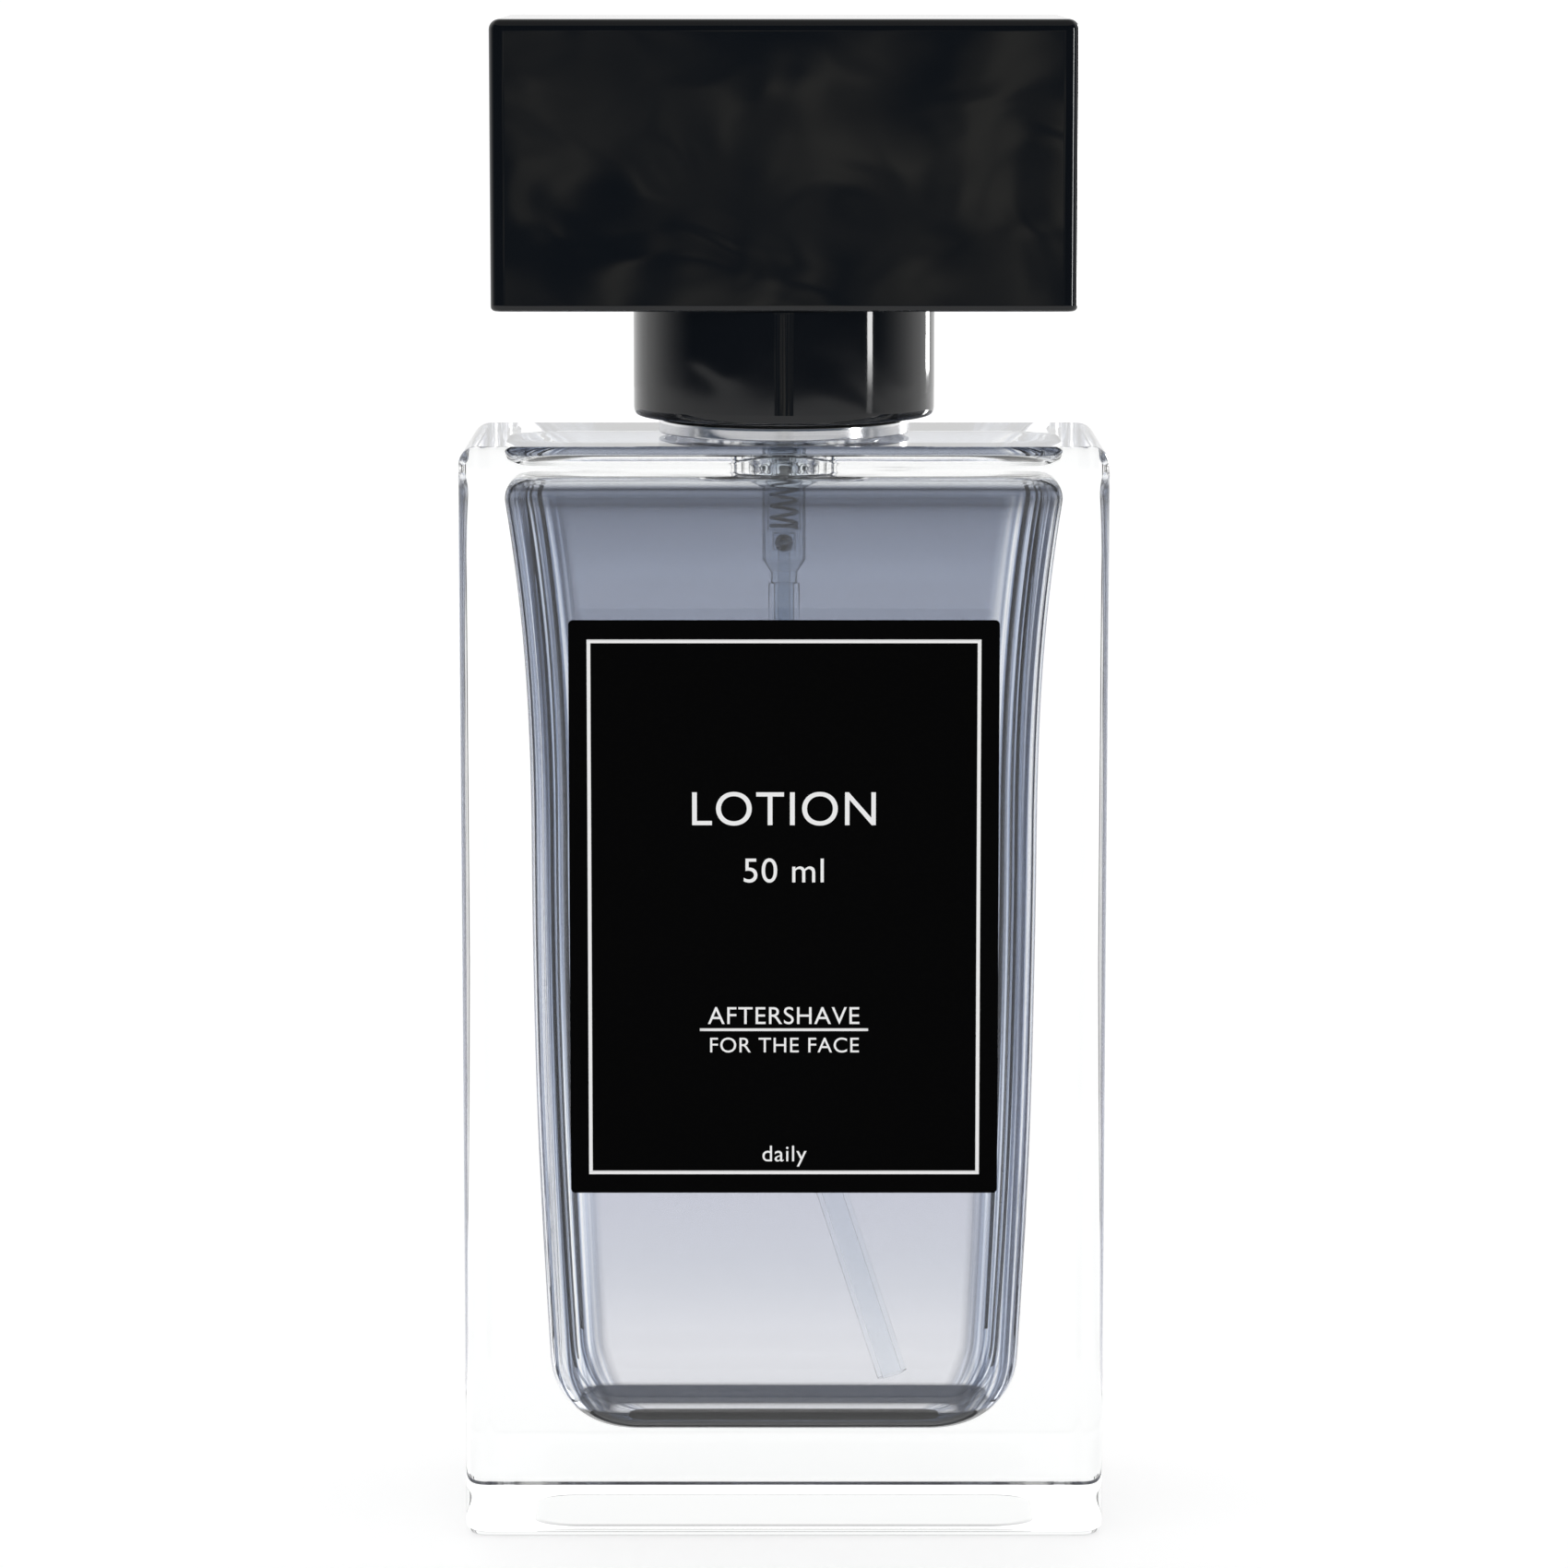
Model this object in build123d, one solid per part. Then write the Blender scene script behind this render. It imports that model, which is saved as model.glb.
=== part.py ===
from build123d import *
import math
import os

# A 50 ml aftershave bottle: a heavy clear glass block with a tinted fill, a crimped spray pump and a
# T-shaped pull-off cap. Millimetres, +Z up, the label faces -Y, origin at the middle of the glass foot.

# ---- driving dimensions ---------------------------------------------------------------------------
GLASS_W, GLASS_D, GLASS_H = 56.0, 28.0, 96.0
GLASS_EDGE, GLASS_FOOT_EDGE = 1.6, 0.9      # rounding of the block's edges, and of those round its foot
FOOT_PANEL_W, FOOT_PANEL_D, FOOT_PANEL_DEPTH = 44.0, 16.0, 0.5
FOOT_PANEL_CORNER, FOOT_PANEL_EDGE = 4.0, 0.3

CAVITY_FLOOR, CAVITY_CEILING = 8.0, 93.0
CAVITY_DEPTH = 15.0           # front to back
CAVITY_WAIST_HALF = 22.1      # half width at the waist
CAVITY_WAIST_Z = 60.0
CAVITY_FLARE = 2.5            # how far each side wall leans out from the waist to the ceiling
CAVITY_FLARE_POWER = 2.3
CAVITY_TAPER = 1.8            # how far each side wall leans in from the waist to the floor
CAVITY_CORNER = 5.0           # rounding of the upright corners
CAVITY_FLOOR_ROUND_X, CAVITY_FLOOR_ROUND_Y = 6.5, 5.0
CAVITY_CEILING_ROUND = 2.4
SECTION_STEPS = 6             # sections in each loft of the cavity
FILL_GAP = 0.05               # keeps the fill's solid just clear of the glass and of the pump

NECK_R, BEAD_R, NECK_BORE_R = 6.7, 7.5, 4.6
BEAD_Z, NECK_TOP = 100.3, 104.0
NECK_FLARE = 1.2              # flare where the neck meets the block
THROAT_FLARE = 1.6            # flare where the bore opens into the cavity
BEAD_SLOPE, BEAD_CHAMFER = 0.9, 0.6

LABEL_W, LABEL_H, LABEL_T, LABEL_CORNER = 37.1, 50.2, 0.15, 0.4
LABEL_Z = 56.1                # height of the label's middle

STROKE = 4.0                  # travel of the spray button
PAST = 1.0                    # how far a cut runs past the faces that it opens

GASKET_T = 1.0
HOUSING_FLANGE_Z = NECK_TOP + GASKET_T
HOUSING_FLANGE_T, HOUSING_FLANGE_R = 1.2, 7.0
BARREL_R, BARREL_BORE_R, BARREL_FLOOR = 4.1, 3.0, 94.6
CHAMBER_R, CHAMBER_BORE_R = 1.9, 1.4
CHAMBER_TOP, SPRING_LEDGE, BALL_SEAT_Z = 92.8, 88.0, 86.2
FUNNEL_WALL = 0.6             # wall below the barrel, where the housing narrows to the chamber
KEEPER_T, KEEPER_SLOPE = 0.2, 0.1
BALL_R, BALL_POCKET_R, BALL_KEEPER_R, SEAT_HOLE_R = 0.8, 0.95, 0.7, 0.5
CHAMBER_FOOT, SPIGOT_NECK_TOP, TUBE_TOP, SPIGOT_END = 85.4, 84.3, 83.3, 79.3
SPIGOT_NECK_R, SPIGOT_R = 1.15, 0.84

STEM_R, STEM_BORE_R, STEM_BASE, STEM_TOP = 1.62, 0.65, 98.4, 116.2
SLIDE_GAP = 0.06              # radial clearance of the moving stem in its guides
STEM_STOP_R, STEM_STOP_Z, STEM_STOP_T = 2.7, 105.1, 1.0
PORT_R, PORT_DROP = 0.3, 1.5  # side port of the stem, and how far it lies below the stop
PISTON_R, PISTON_Z, PISTON_H = 2.95, 99.0, 3.4
PISTON_WEB_R, PISTON_LIP_T, PISTON_LIP_H = 2.25, 0.3, 1.2
PIN_ROD_R, PIN_ROD_END, PIN_FLANGE_R, PIN_FLANGE_Z, PIN_FLANGE_T = 0.75, 93.2, 1.35, 97.6, 0.8
PIN_PLUG_H = 2.2              # how far the plug of the pin stands up inside the stem

SPRING_R, SPRING_WIRE_R, SPRING_COILS, SPRING_PLAY = 1.12, 0.16, 8.0, 0.02

TURRET_R, TURRET_TOP, TURRET_BOSS_R, TURRET_BOSS_TOP = 7.45, 107.9, 2.9, 109.6
STEM_GASKET_R, STEM_GASKET_T = 3.9, 0.8
SOFT_EDGE = 0.3               # chamfer on the rims of moulded and drawn pieces

FERRULE_T, FERRULE_BORE_R = 0.35, 3.1
FERRULE_R = 7.97              # outside of the crimped aluminium shell
FERRULE_FOOT = 98.8
SLEEVE_R, SLEEVE_T, SLEEVE_FOOT, SLEEVE_TOP = 8.5, 0.45, 96.3, 108.6
STEP_R, STEP_TOP = 11.0, 97.7
SLEEVE_LIP_R, SLEEVE_LIP_T, SLEEVE_EDGE, STEP_EDGE = 4.4, 0.35, 0.3, 0.35

TUBE_R, TUBE_BORE_R = 1.35, 0.87
TUBE_STRAIGHT_END, TUBE_BEND_R, TUBE_LEAN, TUBE_TAIL = 54.7, 80.0, 18.0, 18.5

BUTTON_R, BUTTON_TOP = 6.2, 121.0
BUTTON_FOOT = SLEEVE_TOP + STROKE + 0.2
BUTTON_SHELL_T, BUTTON_EDGE = 0.4, 0.45
BUTTON_WALL, BUTTON_ROOF, HUB_R = 0.9, 1.6, 3.0
BLOCK_W = 4.6                 # block of the core that carries the nozzle
RISER_R, FEED_R, FEED_LIFT = 0.6, 0.3, 1.25
FINGER_DISH_R, FINGER_DISH_DEPTH = 60.0, 0.18
HUB_FOOT = TURRET_BOSS_TOP + STROKE + 0.2
NOZZLE_Z, NOZZLE_BORE_R, NOZZLE_POST_R, ORIFICE_R = 116.8, 1.6, 0.95, 0.2
NOZZLE_WALL, NOZZLE_BACK, NOZZLE_EDGE, WINDOW_GAP = 0.5, -3.6, 0.2, 0.25
COUNTERSINK_R, COUNTERSINK_DEPTH = 0.75, 0.5

CAP_W, CAP_D, CAP_FOOT, CAP_TOP = 50.2, 27.0, 107.6, 132.4
CAP_WALL, CAP_EDGE, CAP_RIM_EDGE = 1.6, 0.9, 0.4
SKIRT_R, SKIRT_BORE_R, SKIRT_FOOT, SKIRT_EDGE = 13.2, 11.9, 97.8, 0.7
BASE_INSET, BASE_PLATE_T, BASE_GUIDE_R, BASE_GUIDE_TOP = 0.3, 1.8, 11.6, 112.6
GLUE_GAP = 0.1                # room for glue round the base plate, both sides together
LINER_R, LINER_BORE_R, LINER_FOOT, LINER_CEILING = 10.2, 9.2, 98.3, 126.5
LINER_LID_T, LINER_FLANGE_T = 1.0, 1.2
LINER_CATCH_R, LINER_CATCH_T = 10.8, 0.8
LINER_RIBS, LINER_RIB_W, LINER_RIB_TOP = 8, 0.9, 107.0
TURN_GAP = 0.08               # clearance of the liner in the base plate, where the cap turns on it
GRIP_GAP = 0.06               # clearance of the liner's ribs round the collar


# ---- helpers ----------------------------------------------------------------------------------------
def turned(points):
    """A solid of revolution about Z from (radius, height) points."""
    outline = Polyline(*[(r, 0, z) for r, z in points], close=True)
    return revolve(make_face(outline), Axis.Z)


def rod(radius, low, high, x=0.0, y=0.0):
    return Pos(x, y, (low + high) / 2) * Cylinder(radius, high - low)


def ring(inner, outer, low, high):
    return rod(outer, low, high) - rod(inner, low - 1, high + 1)


def edges_at_radius(part, radius, z, tolerance=0.01):
    """The circular edges about Z with that radius at that height."""
    circles = part.edges().filter_by(GeomType.CIRCLE)
    return circles.filter_by(lambda e: abs(e.radius - radius) < tolerance and abs(e.center().Z - z) < tolerance)


def rounded_block(width, depth, low, high, upright, top, foot):
    """A box whose upright edges are rounded first, then the edges round its top and round its foot."""
    block = Pos(0, 0, (low + high) / 2) * Box(width, depth, high - low)
    block = fillet(block.edges().filter_by(Axis.Z), upright)
    block = fillet(block.faces().sort_by(Axis.Z)[-1].edges(), top)
    return fillet(block.faces().sort_by(Axis.Z)[0].edges(), foot)


# ---- glass and fill ---------------------------------------------------------------------------------
def side_wall(z):
    """Half width of the cavity at height z, before its floor and ceiling are rounded."""
    if z >= CAVITY_WAIST_Z:
        share = (z - CAVITY_WAIST_Z) / (CAVITY_CEILING - CAVITY_WAIST_Z)
        return CAVITY_WAIST_HALF + CAVITY_FLARE * share**CAVITY_FLARE_POWER
    share = (CAVITY_WAIST_Z - z) / (CAVITY_WAIST_Z - CAVITY_FLOOR)
    return CAVITY_WAIST_HALF - CAVITY_TAPER * share**2


def pulled_in(z, floor_round):
    """How far the rounding of the floor and of the ceiling pulls a wall in at height z."""
    above, below = z - CAVITY_FLOOR, CAVITY_CEILING - z
    if above < floor_round:
        return floor_round - math.sqrt(floor_round**2 - (floor_round - above) ** 2)
    if below < CAVITY_CEILING_ROUND:
        r = CAVITY_CEILING_ROUND
        return r - math.sqrt(r**2 - (r - below) ** 2)
    return 0.0


def cavity_section(z, gap):
    """The rounded rectangle that the cavity has at height z, made smaller by a gap all round."""
    half_w = side_wall(z) - pulled_in(z, CAVITY_FLOOR_ROUND_X) - gap
    half_d = CAVITY_DEPTH / 2 - pulled_in(z, CAVITY_FLOOR_ROUND_Y) - gap
    corner = CAVITY_CORNER * half_d / (CAVITY_DEPTH / 2)
    lift = gap if z == CAVITY_FLOOR else 0.0
    return Pos(0, 0, z + lift) * RectangleRounded(2 * half_w, 2 * half_d, corner)


def cavity(gap=0.0):
    """The inside of the glass in three lofts: the rounded floor, the tall body and the rounded ceiling."""
    floor_end = CAVITY_FLOOR + CAVITY_FLOOR_ROUND_X
    ceiling_start = CAVITY_CEILING - CAVITY_CEILING_ROUND
    steps = range(SECTION_STEPS + 1)
    quarter = math.pi / 2 / SECTION_STEPS
    floor = [CAVITY_FLOOR + CAVITY_FLOOR_ROUND_X * (1 - math.cos(quarter * n)) for n in steps]
    body = [floor_end + (ceiling_start - floor_end) * n / SECTION_STEPS for n in steps]
    ceiling = [ceiling_start + CAVITY_CEILING_ROUND * math.sin(quarter * n) for n in steps]
    lower, middle, upper = (loft([cavity_section(z, gap) for z in levels]) for levels in (floor, body, ceiling))
    return lower + middle + upper


def neck():
    """The solid neck, flared into the block, with the bead that the ferrule is crimped under."""
    bead_foot = BEAD_Z - BEAD_SLOPE / 2
    return turned([
        (0, GLASS_H - PAST), (NECK_R + NECK_FLARE, GLASS_H - PAST), (NECK_R + NECK_FLARE, GLASS_H),
        (NECK_R + 0.35 * NECK_FLARE, GLASS_H + 0.3 * NECK_FLARE), (NECK_R, GLASS_H + NECK_FLARE),
        (NECK_R, bead_foot), (BEAD_R, bead_foot + BEAD_SLOPE), (BEAD_R, NECK_TOP - BEAD_CHAMFER),
        (BEAD_R - BEAD_CHAMFER, NECK_TOP), (0, NECK_TOP),
    ])


def throat():
    """What is cut away where the bore flares into the cavity."""
    mouth_r, top = NECK_BORE_R + THROAT_FLARE, CAVITY_CEILING + THROAT_FLARE
    return turned([
        (0, CAVITY_CEILING - PAST / 2), (mouth_r, CAVITY_CEILING - PAST / 2), (mouth_r, CAVITY_CEILING),
        (NECK_BORE_R + 0.3 * THROAT_FLARE, CAVITY_CEILING + 0.3 * THROAT_FLARE), (NECK_BORE_R, top), (0, top),
    ])


def glass_bottle():
    block = rounded_block(GLASS_W, GLASS_D, 0, GLASS_H, GLASS_EDGE, GLASS_EDGE, GLASS_FOOT_EDGE)
    panel = extrude(RectangleRounded(FOOT_PANEL_W, FOOT_PANEL_D, FOOT_PANEL_CORNER), FOOT_PANEL_DEPTH)
    panel = fillet(panel.faces().sort_by(Axis.Z)[-1].edges(), FOOT_PANEL_EDGE)
    bore = rod(NECK_BORE_R, CAVITY_CEILING - PAST, NECK_TOP + PAST)
    return block + neck() - panel - cavity() - bore - throat()


def tube_line():
    """The dip tube's middle line: straight down, a gentle bend to the right, and a straight tail."""
    lean = math.radians(TUBE_LEAN)
    down = Line((0, 0, TUBE_TOP), (0, 0, TUBE_STRAIGHT_END))
    bend_end = (TUBE_BEND_R * (1 - math.cos(lean)), 0, TUBE_STRAIGHT_END - TUBE_BEND_R * math.sin(lean))
    bend = TangentArc((0, 0, TUBE_STRAIGHT_END), bend_end, tangent=(0, 0, -1))
    tail_end = (bend_end[0] + TUBE_TAIL * math.sin(lean), 0, bend_end[2] - TUBE_TAIL * math.cos(lean))
    tail = Line(bend_end, tail_end)
    return Wire([down, bend, tail])


def swept(radius):
    return sweep(Plane((0, 0, TUBE_TOP), z_dir=(0, 0, -1)) * Circle(radius), path=tube_line())


def aftershave_fill():
    """The liquid, filled to the ceiling of the cavity so that only the neck holds air."""
    barrel_r, chamber_r, tube_r = BARREL_R + FILL_GAP, CHAMBER_R + FILL_GAP, TUBE_R + FILL_GAP
    pump = turned([
        (0, BARREL_FLOOR), (barrel_r, BARREL_FLOOR), (barrel_r, BARREL_FLOOR - FUNNEL_WALL),
        (chamber_r, CHAMBER_TOP - FUNNEL_WALL), (chamber_r, CHAMBER_FOOT - FILL_GAP),
        (tube_r, SPIGOT_NECK_TOP - 0.4), (tube_r, TUBE_TOP - PAST), (0, TUBE_TOP - PAST),
    ])
    return cavity(FILL_GAP) - pump - swept(TUBE_R + FILL_GAP)


def front_label():
    plate = Box(LABEL_W, LABEL_T, LABEL_H)
    plate = fillet(plate.edges().filter_by(Axis.Y), LABEL_CORNER)
    return Pos(0, -GLASS_D / 2 - LABEL_T / 2, LABEL_Z) * plate


# ---- pump, from the neck inwards ----------------------------------------------------------------------
def neck_gasket():
    return ring(NECK_BORE_R + 0.1, HOUSING_FLANGE_R, NECK_TOP, HOUSING_FLANGE_Z)


def pump_housing():
    flange_top, keeper_foot = HOUSING_FLANGE_Z + HOUSING_FLANGE_T, SPRING_LEDGE - KEEPER_T
    body = turned([
        (0, flange_top), (HOUSING_FLANGE_R, flange_top), (HOUSING_FLANGE_R, HOUSING_FLANGE_Z),
        (BARREL_R, HOUSING_FLANGE_Z), (BARREL_R, BARREL_FLOOR - FUNNEL_WALL),
        (CHAMBER_R, CHAMBER_TOP - FUNNEL_WALL), (CHAMBER_R, CHAMBER_FOOT),
        (SPIGOT_NECK_R, SPIGOT_NECK_TOP), (SPIGOT_NECK_R, TUBE_TOP),
        (SPIGOT_R, TUBE_TOP), (SPIGOT_R, SPIGOT_END), (0, SPIGOT_END),
    ])
    inside = turned([
        (0, flange_top + PAST), (BARREL_BORE_R, flange_top + PAST), (BARREL_BORE_R, BARREL_FLOOR),
        (CHAMBER_BORE_R, CHAMBER_TOP), (CHAMBER_BORE_R, SPRING_LEDGE), (BALL_KEEPER_R, SPRING_LEDGE),
        (BALL_KEEPER_R, keeper_foot), (BALL_POCKET_R, keeper_foot - KEEPER_SLOPE), (BALL_POCKET_R, BALL_SEAT_Z),
        (SEAT_HOLE_R, BALL_SEAT_Z), (SEAT_HOLE_R, SPIGOT_END - PAST), (0, SPIGOT_END - PAST),
    ])
    return body - inside


def inlet_ball():
    rise = math.sqrt(BALL_R**2 - SEAT_HOLE_R**2) + 0.01
    return Pos(0, 0, BALL_SEAT_Z + rise) * Sphere(BALL_R)


def return_spring():
    low, high = SPRING_LEDGE + SPRING_WIRE_R, PIN_FLANGE_Z - SPRING_WIRE_R
    height = high - low - 2 * SPRING_PLAY
    path = Helix(pitch=height / SPRING_COILS, height=height, radius=SPRING_R, center=(0, 0, low + SPRING_PLAY))
    return sweep(Plane(path @ 0, z_dir=path % 0) * Circle(SPRING_WIRE_R), path=path, is_frenet=True)


def valve_pin():
    top, plug_r = PIN_FLANGE_Z + PIN_FLANGE_T, STEM_BORE_R - 0.02
    return turned([
        (0, PIN_ROD_END), (PIN_ROD_R - 0.2, PIN_ROD_END), (PIN_ROD_R, PIN_ROD_END + 0.3), (PIN_ROD_R, PIN_FLANGE_Z),
        (PIN_FLANGE_R, PIN_FLANGE_Z), (PIN_FLANGE_R, top), (plug_r, top), (plug_r, top + PIN_PLUG_H),
        (0, top + PIN_PLUG_H + 0.2),
    ])


def piston():
    """A sleeve on the stem with two thin lips that wipe the barrel."""
    top, inner, lip_r = PISTON_Z + PISTON_H, STEM_R + 0.01, PISTON_R - PISTON_LIP_T
    web_in, web_out = PISTON_WEB_R - 0.2, PISTON_WEB_R + 0.1
    return turned([
        (inner, PISTON_Z + 0.3), (web_in, PISTON_Z + 0.3), (lip_r, PISTON_Z), (PISTON_R, PISTON_Z),
        (web_out, PISTON_Z + PISTON_LIP_H), (web_out, top - PISTON_LIP_H), (PISTON_R, top), (lip_r, top),
        (web_in, top - 0.4), (inner, top - 0.4),
    ])


def pump_stem():
    stop_top = STEM_STOP_Z + STEM_STOP_T
    body = turned([
        (0, STEM_BASE), (STEM_R, STEM_BASE), (STEM_R, STEM_STOP_Z), (STEM_STOP_R, STEM_STOP_Z),
        (STEM_STOP_R, stop_top), (STEM_R, stop_top), (STEM_R, STEM_TOP - SOFT_EDGE),
        (STEM_R - SOFT_EDGE, STEM_TOP), (0, STEM_TOP),
    ])
    port = Pos(0, 0, STEM_STOP_Z - PORT_DROP) * Rot(0, 90, 0) * Cylinder(PORT_R, 2 * STEM_R + PAST)
    return body - rod(STEM_BORE_R, STEM_BASE - PAST, STEM_TOP + PAST) - port


def stem_gasket():
    low = HOUSING_FLANGE_Z + HOUSING_FLANGE_T
    return ring(STEM_R + SLIDE_GAP, STEM_GASKET_R, low, low + STEM_GASKET_T)


def turret():
    low, guide_r = HOUSING_FLANGE_Z + HOUSING_FLANGE_T, STEM_R + SLIDE_GAP
    body = turned([
        (guide_r, low), (TURRET_R, low), (TURRET_R, TURRET_TOP - SOFT_EDGE), (TURRET_R - SOFT_EDGE, TURRET_TOP),
        (TURRET_BOSS_R, TURRET_TOP), (TURRET_BOSS_R, TURRET_BOSS_TOP - SOFT_EDGE),
        (TURRET_BOSS_R - SOFT_EDGE, TURRET_BOSS_TOP), (guide_r, TURRET_BOSS_TOP),
    ])
    return body - rod(STEM_GASKET_R + 0.03, low - PAST, low + STEM_GASKET_T)


def crimp_ferrule():
    """A thin aluminium shell over the turret, its foot rolled in under the bead of the neck."""
    t, r = FERRULE_T, FERRULE_R
    top = TURRET_TOP + t
    foot_r = NECK_R + 0.2
    return turned([
        (FERRULE_BORE_R, TURRET_TOP), (r - t, TURRET_TOP), (r - t, BEAD_Z + 0.3), (foot_r, BEAD_Z - 0.65),
        (foot_r, FERRULE_FOOT), (foot_r + t, FERRULE_FOOT), (foot_r + t, BEAD_Z - 0.85), (r, BEAD_Z + 0.1),
        (r, top - SOFT_EDGE), (r - SOFT_EDGE, top), (FERRULE_BORE_R, top),
    ])


def collar_sleeve():
    """The bright stepped collar that dresses the ferrule and that the cap grips."""
    t, inner = SLEEVE_T, SLEEVE_R - SLEEVE_T
    lip = SLEEVE_TOP - SLEEVE_LIP_T
    body = turned([
        (SLEEVE_LIP_R, lip), (inner, lip), (inner, SLEEVE_FOOT), (SLEEVE_R, SLEEVE_FOOT), (SLEEVE_R, STEP_TOP - t),
        (STEP_R - t, STEP_TOP - t), (STEP_R - t, SLEEVE_FOOT), (STEP_R, SLEEVE_FOOT), (STEP_R, STEP_TOP),
        (SLEEVE_R, STEP_TOP), (SLEEVE_R, SLEEVE_TOP), (SLEEVE_LIP_R, SLEEVE_TOP),
    ])
    body = fillet(edges_at_radius(body, STEP_R, STEP_TOP), STEP_EDGE)
    return fillet(edges_at_radius(body, SLEEVE_R, SLEEVE_TOP), SLEEVE_EDGE)


def dip_tube():
    return swept(TUBE_R) - swept(TUBE_BORE_R)


# ---- spray button -------------------------------------------------------------------------------------
def along_nozzle(radius, front, back):
    """A rod that lies along Y at the height of the nozzle, from the front to the back."""
    return Pos(0, (front + back) / 2, NOZZLE_Z) * Rot(90, 0, 0) * Cylinder(radius, back - front)


def actuator_core():
    inner_r = BUTTON_R - BUTTON_SHELL_T - 0.03
    top = BUTTON_TOP - BUTTON_SHELL_T - 0.25
    puck = rod(inner_r, BUTTON_FOOT, top)
    hollow = ring(HUB_R, inner_r - BUTTON_WALL, BUTTON_FOOT - PAST, top - BUTTON_ROOF)
    block = Pos(0, -(inner_r + BUTTON_ROOF) / 2, (HUB_FOOT + top) / 2)
    block *= Box(BLOCK_W, inner_r - BUTTON_ROOF, top - HUB_FOOT)
    core = puck - hollow + (block & rod(inner_r, HUB_FOOT, top))
    core = core - rod(HUB_R + 0.05, BUTTON_FOOT - PAST, HUB_FOOT)
    socket = rod(STEM_R + 0.04, BUTTON_FOOT - PAST, STEM_TOP + 0.02)
    riser = rod(RISER_R, STEM_TOP, NOZZLE_Z + FEED_LIFT + 0.25)
    feed = Pos(0, 0, FEED_LIFT) * along_nozzle(FEED_R, NOZZLE_BACK, 0)
    bore = along_nozzle(NOZZLE_BORE_R, -inner_r - PAST, NOZZLE_BACK + 0.4)
    post = along_nozzle(NOZZLE_POST_R, -5.2, NOZZLE_BACK + 0.8)
    return core - socket - riser - feed - (bore - post)


def actuator_shell():
    """The aluminium cover of the button, with a shallow dish for the finger and a window for the nozzle."""
    inside_top = BUTTON_TOP - BUTTON_SHELL_T - 0.2
    shell = rod(BUTTON_R, BUTTON_FOOT, BUTTON_TOP) - rod(BUTTON_R - BUTTON_SHELL_T, BUTTON_FOOT - PAST, inside_top)
    shell = fillet(edges_at_radius(shell, BUTTON_R, BUTTON_TOP), BUTTON_EDGE)
    dish = Pos(0, 0, BUTTON_TOP + FINGER_DISH_R - FINGER_DISH_DEPTH) * Sphere(FINGER_DISH_R)
    return shell - dish - along_nozzle(NOZZLE_BORE_R + WINDOW_GAP, -BUTTON_R - PAST, -BUTTON_R + PAST)


def nozzle_insert():
    """A small cup pressed round the post of the core; its front wall holds the spray orifice."""
    front = -(BUTTON_R - 0.25)
    cup = along_nozzle(NOZZLE_BORE_R - 0.02, front, NOZZLE_BACK)
    cup = fillet(cup.edges().sort_by(Axis.Y)[0], NOZZLE_EDGE)
    inside = along_nozzle(NOZZLE_POST_R + 0.03, front + NOZZLE_WALL, NOZZLE_BACK + PAST)
    orifice = along_nozzle(ORIFICE_R, front - PAST, front + PAST)
    countersink = Rot(90, 0, 0) * Cone(COUNTERSINK_R - 0.4, COUNTERSINK_R, COUNTERSINK_DEPTH)
    countersink = Pos(0, front, NOZZLE_Z) * countersink
    return cup - inside - orifice - countersink


# ---- cap ----------------------------------------------------------------------------------------------
def cap_shell():
    outer = rounded_block(CAP_W, CAP_D, CAP_FOOT, CAP_TOP, CAP_EDGE, CAP_EDGE, CAP_RIM_EDGE)
    inner_h = CAP_TOP - CAP_WALL - CAP_FOOT + PAST
    inner = Pos(0, 0, CAP_FOOT - PAST + inner_h / 2) * Box(CAP_W - 2 * CAP_WALL, CAP_D - 2 * CAP_WALL, inner_h)
    return outer - inner


def cap_base():
    """The plate that closes the block, with the round skirt below it and a guide ring for the liner above."""
    foot = CAP_FOOT + BASE_INSET
    shoulder = LINER_FOOT + LINER_FLANGE_T + TURN_GAP
    plate = Pos(0, 0, foot + BASE_PLATE_T / 2)
    plate *= Box(CAP_W - 2 * CAP_WALL - GLUE_GAP, CAP_D - 2 * CAP_WALL - GLUE_GAP, BASE_PLATE_T)
    skirt = rod(SKIRT_R, SKIRT_FOOT, CAP_FOOT)
    skirt = fillet(edges_at_radius(skirt, SKIRT_R, SKIRT_FOOT), SKIRT_EDGE)
    guide = rod(BASE_GUIDE_R, CAP_FOOT - BASE_PLATE_T, BASE_GUIDE_TOP)
    mouth = rod(SKIRT_BORE_R, SKIRT_FOOT - PAST, shoulder)
    return plate + skirt + guide - mouth - rod(LINER_R + TURN_GAP, SKIRT_FOOT - PAST, BASE_GUIDE_TOP + PAST)


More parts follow.
